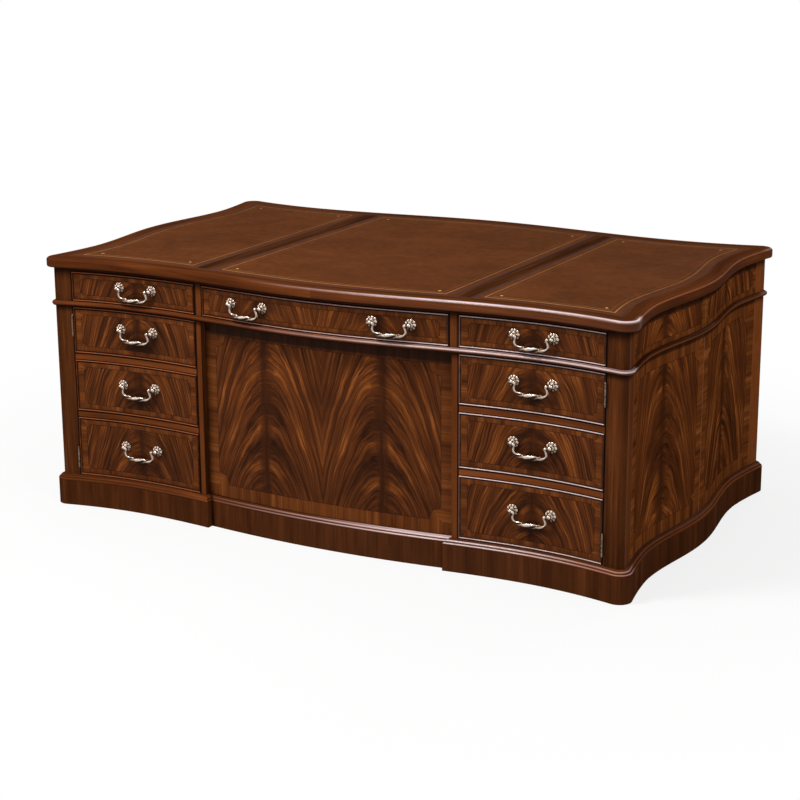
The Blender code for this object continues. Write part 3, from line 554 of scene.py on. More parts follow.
def tooled_leather():
    """Waxed hide with mottling and fine grain, and worn gold lines and stamps."""
    n = material("tooled_leather")
    low, high = n.marks("low"), n.marks("high")
    place = n.attribute("figure")
    dx, dy = n.least(low[0], high[0]), n.least(low[1], high[1])
    edge = n.least(dx, dy)
    tone = n.noise(place, 5, 0.6, 7, 0.6) * 0.6 + n.noise(place, 4, 0.6, 42) * 0.4
    tone = n.span(tone, 0.30, 0.70)
    colour = n.ramp(tone, ((0.0, (72, 38, 15)), (0.5, (88, 47, 19)), (1.0, (102, 56, 25))))
    cells = n.add("TexVoronoi", {"Vector": place, "Scale": 900}, "Distance")
    hide = cells + n.noise(place, 3, 0.6, 380) * 0.6
    broader = n.span(dx - dy, -0.001, 0.001, 1.0, 1.35)
    fainter = n.span(dx - dy, -0.001, 0.001, 0.45, 0.9)

    def stroke(centre, half):
        return 1.0 - n.span(abs(edge - centre) / broader, half * 0.7, half * 1.3)

    rub_and_painted_light = n.span(n.noise(place, 3, 0.6, 40), 0.30, 0.55, 0.7, 1.0) * low[2]
    px, py = abs(dx - STAMP_PLACE), abs(dy - STAMP_PLACE)
    petals = n.math("SQRT", px * px + py * py) + n.least(px, py) * 0.9
    stamp = 1.0 - n.span(petals, 0.0050, 0.0062)
    gold = n.most(stroke(*BROAD_LINE), stroke(*FINE_LINE) * fainter, stamp)
    gilding = gold * rub_and_painted_light
    colour = n.mix(gilding * 0.9, colour, (182, 132, 84))
    colour = n.mix(stamp * low[2], colour, (226, 186, 112))
    rim = 1.0 - n.span(edge, 0.0, 0.007, smooth=True)
    colour = n.mix(rim * 0.55, colour, (64, 48, 45))
    n.bump(hide * 0.5 - gold, 0.35, 0.0004)
    roughness = n.span(gilding, 0.0, 1.0, 0.46, 0.34)
    return n.finish(colour, roughness, Coat_Weight=0.04, Specular_IOR_Level=0.0, Coat_Roughness=0.4)


def aged_brass():
    """Cast brass, pale and silvery on its crowns, with dark hollows and painted shade on its undersides."""
    n = material("aged_brass")
    place = n.attribute("figure")
    cloud, speck = n.noise(place, 4, 0.6, 160), n.noise(place, 3, 0.6, 900)
    tarnish_and_shade = n.marks("high")[0] + (cloud - 0.5) * 0.5
    colour = n.ramp(n.span(tarnish_and_shade, -0.15, 0.9), (
        (0.0, (222, 208, 194)), (0.3, (172, 152, 136)), (0.6, (80, 62, 51)), (1.0, (20, 14, 11)),
    ))
    n.bump(speck + cloud * 1.5, 0.2, 0.0002)
    return n.finish(colour, n.span(tarnish_and_shade, 0.0, 1.0, 0.24, 0.5), Metallic=1.0)


def drawer_maple():
    """Pale drawer linings: clear maple, with its grain along the board."""
    n = material("drawer_lining")
    x, y, z = n.split(n.add("TexCoord", (), "Object"))
    up = z + x * 0.35
    tiny = pores(n, y, up, 2.0)
    value = n.span(grain(n, y, up, 2.0), 0.3, 0.7)
    colour = n.ramp(value, ((0.0, (176, 142, 100)), (0.5, (198, 165, 121)), (1.0, (214, 184, 142))))
    colour = n.mix(tiny * 0.2, colour, (120, 88, 56))
    n.bump(1.0 - tiny, 0.2, 0.0001)
    return n.finish(colour, 0.45)


MAHOGANY = ((0.0, (36, 17, 7)), (0.35, (59, 30, 13)), (0.65, (79, 42, 19)), (1.0, (104, 57, 27)))
RAILS = ((0.0, (62, 31, 13)), (0.4, (97, 51, 23)), (0.7, (115, 61, 28)), (1.0, (134, 74, 34)))
PLINTHS = ((0.0, (48, 24, 11)), (0.35, (63, 32, 14)), (0.65, (77, 41, 19)), (1.0, (94, 51, 24)))
BORDER = ((0.0, (52, 25, 11)), (0.4, (79, 40, 16)), (0.7, (98, 51, 21)), (1.0, (118, 64, 28)))
MOULDED = ((0.0, (50, 23, 10)), (0.4, (81, 40, 16)), (0.7, (101, 52, 21)), (1.0, (124, 67, 29)))
INSIDE = ((0.0, (52, 31, 18)), (0.5, (84, 53, 31)), (1.0, (110, 74, 46)))

FLAME = flame_veneer()
STILE = plain_veneer("stile_veneer", MAHOGANY, (126, 68, 31))
RAIL = plain_veneer("rail_veneer", RAILS, (140, 84, 52))
PLINTH = plain_veneer("plinth_veneer", PLINTHS, (126, 68, 31))
CROSSBAND = plain_veneer("border_veneer", BORDER, (140, 84, 52))
MOULDING = plain_veneer("moulding_wood", MOULDED, (150, 84, 46), coat=0.16, coat_roughness=0.12)
LINING = plain_veneer("case_lining", INSIDE, (110, 74, 46), coat=0.0, shade_line_width=0.012)
LEATHER = tooled_leather()
BRASS = aged_brass()
MAPLE = drawer_maple()


# Mesh building

class Build:
    """A mesh in the making, as blocks of points and the faces between them."""

    def __init__(self, name):
        self.name = name
        self.points = []
        self.marks = []
        self.faces = []
        self.slots = []
        self.count = 0

    def block(self, points, figure, low, high):
        """Add points with their marks, and return their numbers."""
        points = np.asarray(points, float)
        shape = points.shape
        marks = [np.zeros(shape) if mark is None else np.broadcast_to(np.asarray(mark, float), shape)
                 for mark in (low, high, figure)]
        self.points.append(points.reshape(-1, 3))
        self.marks.append(np.stack([mark.reshape(-1, 3) for mark in marks], 1))
        numbers = self.count + np.arange(points[..., 0].size).reshape(shape[:-1])
        self.count += points[..., 0].size
        return numbers

    def grid(self, points, figure, low=(1, 1, 0), high=None, slot=0, keep=None):
        """Quads between rows of points, all of them or those to keep."""
        numbers = self.block(points, figure, low, high)
        quads = np.stack((numbers[:-1, :-1], numbers[:-1, 1:], numbers[1:, 1:], numbers[1:, :-1]), -1)
        slots = np.broadcast_to(slot, quads.shape[:2])
        if keep is not None:
            quads, slots = quads[keep], slots[keep]
        self.faces += quads.reshape(-1, 4).tolist()
        self.slots += slots.ravel().tolist()

    def tube(self, rows, high, ends=(0, -1)):
        """Closed rings of points, capped at its ends, whose figure is the place itself."""
        self.grid(rows, rows, high=high)
        for end in ends:
            self.cap(rows[end][:-1], (0, 0, 0))

    def rim(self, face, back, figure, low=(1, 1, 0), high=None, slot=0):
        """Strips that join the edges of two grids: level ones (way 0), then upright ones (way 2)."""
        for pick, way in ((np.s_[0], 0), (np.s_[-1], 0), (np.s_[:, 0], 2), (np.s_[:, -1], 2)):
            strip = np.stack((face[pick], back[pick]))
            self.grid(strip, figure(strip, way) if callable(figure) else figure, low, high, slot)

    def cap(self, points, figure, low=(1, 1, 0), slot=0):
        """One flat face over a loop of points."""
        self.faces.append(self.block(points, figure, low, None).tolist())
        self.slots.append(slot)

    def mesh(self, materials, smooth_angle=32, merge=0.000002):
        """The finished mesh, with its faces turned outwards."""
        mesh = bpy.data.meshes.new(self.name)
        points = np.concatenate(self.points)
        marks = np.concatenate(self.marks)
        mesh.from_pydata(points.tolist(), [], self.faces)
        corners = np.concatenate([np.array(face) for face in self.faces])
        write_marks(mesh, marks[corners])
        mesh.polygons.foreach_set("material_index", np.array(self.slots, np.int32))
        bm = bmesh.new()
        bm.from_mesh(mesh)
        bmesh.ops.remove_doubles(bm, verts=bm.verts, dist=merge)
        bmesh.ops.recalc_face_normals(bm, faces=bm.faces)
        if bm.calc_volume(signed=True) < 0:
            bmesh.ops.reverse_faces(bm, faces=bm.faces)
        bm.to_mesh(mesh)
        bm.free()
        smoothed(mesh, materials, smooth_angle)
        return mesh


def write_marks(mesh, marks):
    """Store low, high and figure at each face corner."""
    for number, name in enumerate(("low", "high", "figure")):
        layer = mesh.attributes.new(name, "FLOAT_VECTOR", "CORNER")
        layer.data.foreach_set("vector", marks[:, number].astype(np.float32).ravel())


def smoothed(mesh, materials, angle):
    """Give a mesh its materials, and smooth shading between its arrises."""
    for material in materials:
        mesh.materials.append(material)
    mesh.polygons.foreach_set("use_smooth", np.ones(len(mesh.polygons), bool))
    mesh.set_sharp_from_angle(angle=math.radians(angle))
    mesh.update()


def place(name, mesh, replaces=(), body="carcass", slot="flame_mahogany", matrix=None):
    """Put a mesh in the scene, on its body; its finish slot is not used."""
    item = bpy.data.objects.new(name, mesh)
    bpy.context.scene.collection.objects.link(item)
    if matrix is not None:
        item.matrix_world = matrix
    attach(item, body)
    if replaces:
        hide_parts(*replaces)


def cells(rows, columns, rule):
    """What a rule gives at each place of a grid, as one table for each of its answers."""
    table = [[rule(column, row) for column in columns] for row in rows]
    return np.array(table).transpose(2, 0, 1, 3)


def rising(value, start, reach):
    """Share of a reach, from 0 to 1, that a value has gone past a start."""
    return min(1.0, max(0.0, (value - start) / reach))


# Where the painted highlights and painted shade change: start and reach towards the ends of the sides, and
# along the front
END_ZONE = (0.49, 0.04)
PALE_HIGHLIGHT_ZONE = (-0.35, 0.75)
PAINTED_LIGHT_ZONE = (-0.4, 0.75)
PALE_HIGHLIGHT_LEFT = 0.03
PAINTED_LIGHT_LEFT = 0.14
TOP_PAINTED_LIGHT_LEFT = -0.2
REAR_PALE_HIGHLIGHT = 0.3
REAR_PAINTED_LIGHT = 0.5


def highlight_paleness_at(x, y):
    """How pale the painted highlight on an arris is, most on the visitor's right."""
    if y > 0:
        return REAR_PALE_HIGHLIGHT * rising(y, *END_ZONE)
    return rising(-y, *END_ZONE) * (PALE_HIGHLIGHT_LEFT + (1 - PALE_HIGHLIGHT_LEFT) * rising(x, *PALE_HIGHLIGHT_ZONE))


def moulding_light(painted_light, side, x, y, left=PAINTED_LIGHT_LEFT):
    """Painted light along a moulding, painted shade below 0 and painted highlight above, from its value at
    the front and its value on the sides.
    """
    end = rising(abs(y), *END_ZONE)
    front = REAR_PAINTED_LIGHT if y > 0 else left + (1 - left) * rising(x, *PAINTED_LIGHT_ZONE)
    return side * (1 - end) + painted_light * (front if painted_light > 0 else 1.0) * end


def sweep(build, profile, outline, slot, seed, left=PAINTED_LIGHT_LEFT):
    """Moulding swept round a plan."""
    lengths = loop_lengths(outline(profile[0][0]))
    rise = 0.0
    last = profile[0]
    rings, figures, highs = [], [], []
    for out, z, painted_light, side in profile:
        rise += math.hypot(out - last[0], z - last[1])
        last = (out, z)
        ring = outline(out)
        ring = ring + ring[:1]
        rings.append([(x, y, z) for x, y in ring])
        figures.append([(length, rise, seed) for length in lengths])
        # Painted light and the paleness of its highlight at each point of the ring
        highs.append([(moulding_light(painted_light, side, x, y, left), highlight_paleness_at(x, y), 0) for x, y in ring])
    build.grid(rings, figures, high=highs, slot=slot)
    return rings


# Carcases cut as in the frame

def loft(bm, rings):
    """Closed skin over a row of rings."""
    rows = [[bm.verts.new(point) for point in ring] for ring in rings]
    for low, high in zip(rows, rows[1:]):
        for i, corner in enumerate(low):
            j = (i + 1) % len(low)
            bm.faces.new((corner, low[j], high[j], high[i]))
    bm.faces.new(reversed(rows[0]))
    bm.faces.new(rows[-1])


def prism(bm, points, z_from, z_to):
    """Upright prism over a plan that runs anticlockwise."""
    loft(bm, [[(x, y, z) for x, y in points] for z in (z_from, z_to)])


def rectangle(x_range, y_range):
    """Corners of a rectangle, anticlockwise."""
    (x_from, x_to), (y_from, y_to) = x_range, y_range
    return [(x_from, y_from), (x_to, y_from), (x_to, y_to), (x_from, y_to)]


def box(bm, x_range, y_range, z_range):
    """Box between limits along each axis."""
    prism(bm, rectangle(x_range, y_range), *z_range)


def turned(bm):
    """The same shape, turned round to the other side of the desk."""
    bmesh.ops.rotate(bm, verts=bm.verts[:], cent=(0, 0, 0), matrix=Matrix.Rotation(math.pi, 3, "Z"))
    return bm


def carved(name, bm, tools):
    """Mesh of a solid with its tools cut away one after the other."""
    items = []
    for part in (bm, *tools):
        mesh = bpy.data.meshes.new(name)
        part.to_mesh(mesh)
        part.free()
        items.append(bpy.data.objects.new(name, mesh))
        bpy.context.scene.collection.objects.link(items[-1])
    for tool in items[1:]:
        step = items[0].modifiers.new("cut", "BOOLEAN")
        step.operation = "DIFFERENCE"
        step.solver = "EXACT"
        step.object = tool
    graph = bpy.context.evaluated_depsgraph_get()
    mesh = bpy.data.meshes.new_from_object(items[0].evaluated_get(graph))
    for item in items:
        bpy.data.objects.remove(item)
    return mesh


# Painted shadow round a pull: offset along and up, reach each way, strength
PULL_SHADOWS = (
    (0.010, -0.047, 0.056, 0.013, 0.85), (0.024, -0.040, 0.040, 0.010, 0.55),
    (0.066, -0.010, 0.020, 0.022, 0.75), (-0.050, -0.011, 0.018, 0.020, 0.5),
)


def painted_shadow(along, up):
    """Strength of the painted shadow at a place beside a pull."""
    return max(strength * math.exp(-((along - x) / reach) ** 2 - ((up - z) / rise) ** 2)
               for x, z, reach, rise, strength in PULL_SHADOWS)


# Borders: width at the ends, width above and below, and radius of the notched corners
FRIEZE_BORDER = ((0.027, 0.0195), 0.007)
DOOR_BORDER = ((0.0265, 0.0215), 0.01)
FRIEZE_SIDE_BORDER = ((0.022, 0.02), 0.013)
PEDESTAL_SIDE_BORDER = ((0.042, 0.04), 0.03)
CENTRE_BORDER = ((0.041, 0.040), 0.036)


class Panel:
    """A field of flame veneer in a crossbanded border, on part of a face."""

    def __init__(self, along, up, band, notch, seed, hearts=None, lined=False, pulls=()):
        self.along = along
        self.up = up
        self.band = band
        self.notch = notch
        self.seed = seed
        self.hearts = hearts or [sum(along) / 2]
        self.edge = band[0] if lined else 1
        self.pulls = pulls

    def marks(self, s, z, shade=0.0):
        # Painted shadow round the pulls, or the given painted shade where there are none
        shadow_strength = max((painted_shadow(s - x, z - level) for x, level in self.pulls), default=shade)
        low = (s - self.along[0] - self.band[0], z - self.up[0] - self.band[1], self.edge + shadow_strength)
        high = (self.along[1] - s - self.band[0], self.up[1] - z - self.band[1], self.notch)
        across = s - self.hearts[0]
        if len(self.hearts) > 1 and s > sum(self.hearts) / 2:
            across = self.hearts[1] - s
        return low, high, (across, z - self.up[0], self.seed)


def plain(along, across, seed, painted_light=0.0, highlight_paleness=0.0, line=1.0, second=1.0, shade=0.0):
    """Marks of a straight-grained face."""
    return (line, second, shade), (painted_light, highlight_paleness, 0), (along, across, seed)


LINE_SHARE = 3


def from_edges(value, edges):
    """Distance from the nearest opening edge, scaled to draw a thin line of painted shade."""
    return LINE_SHARE * min(abs(value - edge) for edge in edges)


def place_shell(name, node, mesh, region, materials=(FLAME, STILE, LINING, RAIL), angle=20):
    """Give each face of a case the material and the marks of its region, and put it in the scene."""
    marks = np.zeros((len(mesh.loops), 3, 3))
    for face in mesh.polygons:
        slot, rule = region(face.center, face.normal)
        face.material_index = slot
        for corner in face.loop_indices:
            marks[corner] = rule(mesh.vertices[mesh.loops[corner].vertex_index].co)
    write_marks(mesh, marks)
    smoothed(mesh, materials, angle)
    place(name, mesh, [node])


SKIN = 0.0006
ARRIS_HIGHLIGHT = 0.4
ARRIS_TURN = 0.18
ARRIS_REACH = 0.22


def shade_under(z, top, depth):
    """Soft shadow under an overhang: 1 where it is darkest, 0 where it ends."""
    return (z - top + depth) / depth


def arris(co):
    """Painted highlight on the rounded corner of a case, palest half way round it."""
    turn = math.atan2(abs(co.y) - CORNER_Y, abs(co.x) - CORNER_X)
    beside_it = max(abs(abs(co.x) - CORNER_X), abs(abs(co.y) - CORNER_Y)) > CORNER_RADIUS + SKIN
    return 0.0 if beside_it else ARRIS_HIGHLIGHT * (1 - rising(abs(turn - ARRIS_TURN), 0, ARRIS_REACH))


def case_region(side_panels, front_rule, inside_seed, shade):
    """Rule that tells skins from insides, and side panels from stiles."""
    def inside(co, along, across):
        # Inside faces: painted shade in a band behind the front edge
        return plain(along, across, inside_seed, line=front_line(co.x) - abs(co.y))

    def region(centre, normal):
        if abs(normal.z) > 0.8:
            return 2, lambda co: inside(co, co.x, co.y)
        on_front = abs(abs(centre.y) - front_line(centre.x)) < SKIN and abs(normal.y) > 0.5
        on_side = abs(abs(centre.x) - side_line(centre.y)) < SKIN and abs(normal.x) > 0.5
        corner = math.hypot(abs(centre.x) - CORNER_X, abs(centre.y) - CORNER_Y)
        if on_side and abs(centre.y) < SIDE_STILE:
            half = 0 if centre.y < 0 else 1
            turn = 1 if centre.x > 0 else -1
            panel = side_panels[half if turn > 0 else 1 - half]
            return 0, lambda co: panel.marks(turn * arc(SIDE_ARC, co.y), co.z)
        if on_side:
            # Painted light on the side stiles, most at the back
            rub_and_painted_light = 0.3 if centre.y < 0 else 1.0
            return 1, lambda co: plain(co.z, co.x - co.y, 5.0, rub_and_painted_light, shade=shade(co.z))
        if abs(corner - CORNER_RADIUS) < SKIN:
            return 1, lambda co: plain(co.z, co.x - co.y, 5.0, arris(co), 0.1, shade=shade(co.z))
        if on_front:
            return front_rule(centre)
        if abs(normal.x) > abs(normal.y):
            return 2, lambda co: inside(co, co.z, co.y)
        return 2, lambda co: inside(co, co.z, co.x)
    return region


def face_back(x_from, x_to):
    """Flat back of a drawer face, behind the deepest point of its front."""
    return FACE_THICKNESS - min(front_line(x) for x in spread(x_from, x_to, 10))


def opening(inset, hand):
    """Width of a pedestal's opening, or less by an inset at both ends."""
    return handed(OPENING_INNER + inset, OPENING_OUTER - inset, hand)


def side_fields(up, border, seed):
    """The two panels of a side, each with its own heart."""
    reach = arc(SIDE_ARC, SIDE_STILE)
    return [Panel(along, up, *border, number, lined=True)
            for along, number in (((-reach, 0), seed), ((0, reach), seed + 1.3))]


FRIEZE_SHADE = (0.749, 0.024)
PEDESTAL_SHADE = (WAIST_BASE, 0.02)
MUNTIN_PAINTED_LIGHT = 0.5
INNER_STILE_PAINTED_LIGHT = 0.4


def make_frieze():
    """Frieze case with its drawer openings."""
    bm, front, back = (bmesh.new() for _ in range(3))
    edges = (CENTRE_OPENING, OPENING_INNER, OPENING_OUTER)
    prism(bm, full_outline(0, edges), FRIEZE_BASE + FIT, TOP_BASE)
    heights = (FRIEZE_FACE[0] - REVEAL, FRIEZE_FACE[1] + REVEAL)
    openings = (opening(0, -1), (-CENTRE_OPENING, CENTRE_OPENING), opening(0, 1))
    for x_range in openings:
        for tool, length in ((front, FRIEZE_BOX_LENGTH), (back, REAR_BOX_LENGTH)):
            box(tool, x_range, (START, face_back(*x_range) + length + BOX_END_CLEARANCE), heights)
    mesh = carved("frieze_shell", bm, (front, turned(back)))

    def shade(z):
        return shade_under(z, *FRIEZE_SHADE)

    def front_rule(centre):
        if any(low < centre.x < high for low, high in openings):
            # Painted shade lines along the openings' top and bottom edges
            return 3, lambda co: plain(arc(FRONT_ARC, co.x), co.z, 7.0, shade=shade(co.z),
                                       second=from_edges(co.z, heights))
        # Painted light on the stiles between the openings; painted shade lines along the openings' edges
        rub_and_painted_light = MUNTIN_PAINTED_LIGHT if abs(centre.x) < OPENING_MIDDLE else 0.0
        return 1, lambda co: plain(co.z, arc(FRONT_ARC, co.x), 6.0, rub_and_painted_light, shade=shade(co.z),
                                   second=from_edges(abs(co.x), edges))

    panels = side_fields((FRIEZE_BASE, TOP_BASE - 0.006), FRIEZE_SIDE_BORDER, 11.0)
    place_shell("frieze_shell", "frieze_case", mesh, case_region(panels, front_rule, 21.0, shade))


def hinge_axis(hand):
    """Plan place of a door's hinge pins, in front of its outer edge."""
    x = OPENING_OUTER - REVEAL / 2
    return hand * x, -front_line(x) - BEAD_PROUD - KNUCKLE_RADIUS - FIT


def hinge_levels():
    """Base heights of the lower and the upper hinge of a door."""
    return {"lower": DOOR_BASE + HINGE_INSET, "upper": DOOR_TOP - HINGE_INSET - HINGE_HEIGHT}


def curved_plan(x_from, x_to, face_out, back_in, segments):
    """Plan of a board that follows the front, its face and its back curved."""
    places = spread(x_from, x_to, segments)
    return ([(x, -front_line(x) - face_out) for x in places]
            + [(x, -front_line(x) + back_in) for x in reversed(places)])


def make_pedestal(side, hand):
    """Pedestal case: a cupboard for the visitor and two drawers for the user."""
    outline = half_outline(PEDESTAL_INNER, 0, PEDESTAL_SEGMENTS, (OPENING_INNER, OPENING_OUTER))
    floor = PLINTH_TOP + CASE_BOARD
    ceiling = WAIST_BASE - CASE_BOARD
    lower_top, upper_base = MIDDLE_TOP + REVEAL, UPPER_BASE - REVEAL
    shelf = floor + SHELF_HEIGHT
    face = face_back(*opening(0, -hand))
    pocket_end = face + FILE_BOX_LENGTH + BOX_END_CLEARANCE
    cupboard_depth = (START, -pocket_end - CUPBOARD_BACK)
    bm, recess, cupboard, grooves, mortises, faces, pockets = (bmesh.new() for _ in range(7))
    prism(bm, outline if hand > 0 else mirrored(outline), PLINTH_TOP + FIT, WAIST_BASE)
    plan = curved_plan(*opening(0, hand), OVERRUN, DOOR_THICKNESS + FIT, PEDESTAL_SEGMENTS)
    prism(recess, plan, PLINTH_TOP - OVERRUN, WAIST_BASE + OVERRUN)
    box(cupboard, opening(CASE_REBATE, hand), cupboard_depth, (floor, ceiling))
    groove = opening(CASE_REBATE - DADO_DEPTH, hand)
    box(grooves, groove, cupboard_depth, (shelf - FIT, shelf + SHELF_THICKNESS + FIT))
    mortise = handed(OPENING_OUTER - REVEAL / 2, OPENING_OUTER + LEAF_THICKNESS + FIT, hand)
    leaf_end = hinge_axis(hand)[1] + KNUCKLE_RADIUS + LEAF_DEPTH + FIT
    for base in hinge_levels().values():
        box(mortises, mortise, (START, leaf_end), (base - FIT, base + HINGE_HEIGHT + FIT))
    for tool, inset, end, bottom, top in (
            (faces, 0, face + FIT, PLINTH_TOP - OVERRUN, WAIST_BASE + OVERRUN),
            (pockets, CASE_REBATE, pocket_end, floor, ceiling)):
        box(tool, opening(inset, -hand), (START, end), (bottom, lower_top))
        box(tool, opening(inset, -hand), (START, end), (upper_base, top))
    tools = (recess, cupboard, grooves, mortises, turned(faces), turned(pockets))
    mesh = carved(f"pedestal_shell_{side}", bm, tools)

    def shade(z):
        return shade_under(z, *PEDESTAL_SHADE)

    def front_rule(centre):
        if OPENING_INNER < abs(centre.x) < OPENING_OUTER:
            return 3, lambda co: plain(arc(FRONT_ARC, co.x), co.z, 7.5, shade=shade(co.z))
        # Painted light on the inner stile; painted shade lines along the openings' edges
        rub_and_painted_light = INNER_STILE_PAINTED_LIGHT if abs(centre.x) < OPENING_MIDDLE else 0.0
        return 1, lambda co: plain(co.z, arc(FRONT_ARC, co.x), 6.5 + hand, rub_and_painted_light, shade=shade(co.z),
                                   second=from_edges(abs(co.x), (OPENING_INNER, OPENING_OUTER)))

    panels = side_fields((PLINTH_TOP, WAIST_BASE - 0.002), PEDESTAL_SIDE_BORDER, 31.0)
    outer_region = case_region(panels, front_rule, 22.0, shade)

    def region(centre, normal):
        if abs(abs(centre.x) - PEDESTAL_INNER) < SKIN and abs(normal.x) > 0.8:
            return 1, lambda co: plain(co.z, co.y, 9.0 + hand)
        return outer_region(centre, normal)

    place_shell(f"pedestal_shell_{side}", f"pedestal_{side}", mesh, region)


# Where the plinth's painted highlight fades towards the right-hand corner, and by how much
CORNER_HIGHLIGHT_ZONE = (0.6, 0.25)
CORNER_HIGHLIGHT_LOSS = 0.75
NEAR = 0.001


def make_plinth(side, hand):
    """Moulded plinth frame under a pedestal, with bearers across it."""
    def outline(out):
        points = half_outline(PEDESTAL_INNER - out, out, PEDESTAL_SEGMENTS)
        return points if hand > 0 else mirrored(points)

    bm, bays = bmesh.new(), bmesh.new()
    loft(bm, [[(x, y, z) for x, y in outline(out)] for out, z, _, _ in PLINTH_PROFILE])
    board = PLINTH_BOARD - PLINTH_PROJECTION
    inner, outer = PEDESTAL_INNER + board, HALF_WIDTH - SIDE_HOLLOW - board
    depth = HALF_DEPTH - FRONT_HOLLOW - board
    pitch = (outer - inner + BEARER_WIDTH) / PLINTH_BAYS
    heights = (-OVERRUN, PLINTH_TOP + OVERRUN)
    for number in range(PLINTH_BAYS):
        start = inner + number * pitch
        box(bays, handed(start, start + pitch - BEARER_WIDTH, hand), (-depth, depth), heights)
    mesh = carved(f"plinth_base_{side}", bm, (bays,))
    outs, levels, painted_lights, side_painted_lights = np.array(PLINTH_PROFILE).T

    def plinth_painted_light(co):
        # Painted light, its highlight less pale towards the right-hand corner
        painted_light, side_painted_light = np.interp(co.z, levels, painted_lights), np.interp(co.z, levels, side_painted_lights)
        kept = 1 - CORNER_HIGHLIGHT_LOSS * rising(co.x, *CORNER_HIGHLIGHT_ZONE)
        return moulding_light(painted_light, side_painted_light, co.x, co.y), highlight_paleness_at(co.x, co.y) * kept

    def region(centre, normal):
        if abs(normal.z) > 0.99 and (centre.z < NEAR or centre.z > PLINTH_TOP - NEAR):
            return 2, lambda co: plain(co.y, co.x, 24.0)
        inside = abs(centre.y) < depth + NEAR and inner - NEAR < abs(centre.x) < outer + NEAR
        if inside and abs(normal.z) < 0.01 and abs(centre.x) > PEDESTAL_INNER + 0.01:
            return 2, lambda co: plain(co.x + co.y, co.z, 24.0)
        across_front = abs(normal.y) > abs(normal.x)

        def length(co):
            return co.x if across_front else co.y + 0.7
        if centre.z < PLINTH_PROFILE[2][1]:
            return 1, lambda co: plain(co.z, length(co), 8.0 + hand, *plinth_painted_light(co))
        return 0, lambda co: plain(length(co), co.z - np.interp(co.z, levels, outs), 12.0, *plinth_painted_light(co))

    place_shell(f"plinth_base_{side}", f"plinth_{side}", mesh, region, (MOULDING, PLINTH, LINING), 40)


def centre_line(x):
    """Face of the skirting between the pedestals, from the middle of the desk."""
    return HALF_DEPTH - SKIRTING_SETBACK - SKIRTING_BOW * (x / PEDESTAL_INNER) ** 2


# Skirting's painted light: shift of its pale highlight, lift of its upper rows towards the right, and
# painted shade at its left end
SKIRTING_HIGHLIGHT_SHIFT = 0.22
SKIRTING_HIGHLIGHT_LIFT = ((0.0915, 0.75), (0.08, 0.15))
SKIRTING_HIGHLIGHT_LIFT_ZONE = (-0.05, 0.3)
LEFT_END = 0.004
LEFT_END_PAINTED_SHADE = -0.9
UNDER_WAIST = (0.592, 0.012)
BESIDE_PEDESTAL = 0.02
BESIDE_SHADE = 0.7
SHADE_ROWS = [0.592, 0.596, 0.600, 0.603, 0.606]
PANEL_HEARTS = (-0.196, 0.196)


def panel_shade(x, z):
    """Shadow of the waist moulding and of the left pedestal on the closed panel."""
    return max(rising(z, *UNDER_WAIST), BESIDE_SHADE * (1 - rising(x, -PEDESTAL_INNER, BESIDE_PEDESTAL)))


def make_skirting():
    """Skirting between the pedestals, under the closed panel."""
    half = PEDESTAL_INNER - PLINTH_PROJECTION - FIT
    xs = sorted(spread(-half, half, FRONT_SEGMENTS) + [-half + LEFT_END])
    skirting = Build("skirting")
    profile = list(PLINTH_PROFILE)
    profile += [(-SKIRTING_THICKNESS, level, 0.0, 0.0) for level in (PLINTH_TOP, 0.0)] + profile[:1]
    rows, figures, highs = [], [], []
    for number, (out, z, painted_light, side) in enumerate(profile):
        mitre = PLINTH_PROJECTION if z == 0 else PLINTH_PROFILE[-1][0] if out < 0 else out
        stretch = (PEDESTAL_INNER - mitre - FIT) / half
        rows.append([(x * stretch, -centre_line(x) - out + PLINTH_PROJECTION, z) for x in xs])
        figures.append([(x, z - out + number * BEAD_WIDTH, 14.0) for x in xs])
        # Painted highlight lifted on the upper rows towards the right, painted shade at the left end
        lift = next((amount for level, amount in SKIRTING_HIGHLIGHT_LIFT if z > level), 0.0)
        painted_lights = [min(1.0, moulding_light(painted_light, side, x, -1) + lift * rising(x, *SKIRTING_HIGHLIGHT_LIFT_ZONE)) for x in xs]
        painted_lights[:2] = (LEFT_END_PAINTED_SHADE, LEFT_END_PAINTED_SHADE)
        highs.append([(painted_light, highlight_paleness_at(x + SKIRTING_HIGHLIGHT_SHIFT, -1), 0) for x, painted_light in zip(xs, painted_lights)])
    moulded = np.zeros((len(profile) - 1, len(xs) - 1), bool)
    moulded[2:len(PLINTH_PROFILE) - 1] = True
    skirting.grid(rows, figures, high=highs, slot=0, keep=moulded)
    skirting.grid(rows, np.array(figures)[..., (1, 0, 2)], high=highs, slot=1, keep=~moulded)
    for end in (0, -1):
        skirting.cap([row[end] for row in rows[:-1]], (0, 0, 14.0), slot=1)
    place("skirting", skirting.mesh((MOULDING, PLINTH)), ["plinth_centre"])


def make_panel():
    """Closed panel between the pedestals."""
    half = PEDESTAL_INNER - FIT
    xs = spread(-half, half, FRONT_SEGMENTS)
    zs = (PLINTH_TOP + FIT, WAIST_BASE)
    field = Panel((-half, half), zs, *CENTRE_BORDER, 41.0, PANEL_HEARTS)
    panel = Build("modesty_front")
    heights = sorted(spread(*zs, 12) + SHADE_ROWS)
    low, high, figure = cells(heights, xs, lambda x, z: field.marks(x, z, panel_shade(x, z)))
    face = np.array([[(x, -centre_line(x) + PLINTH_PROJECTION, z) for x in xs] for z in heights])
    panel.grid(face, figure, low, high)
    back = face + (0, PANEL_THICKNESS, 0)
    panel.grid(back, [[(z, x, 16.0) for x in xs] for z in heights], slot=1)
    panel.rim(face, back, (0, 0, 16.0), slot=1)
    place("modesty_front", panel.mesh((FLAME, STILE)), ["modesty_panel"])


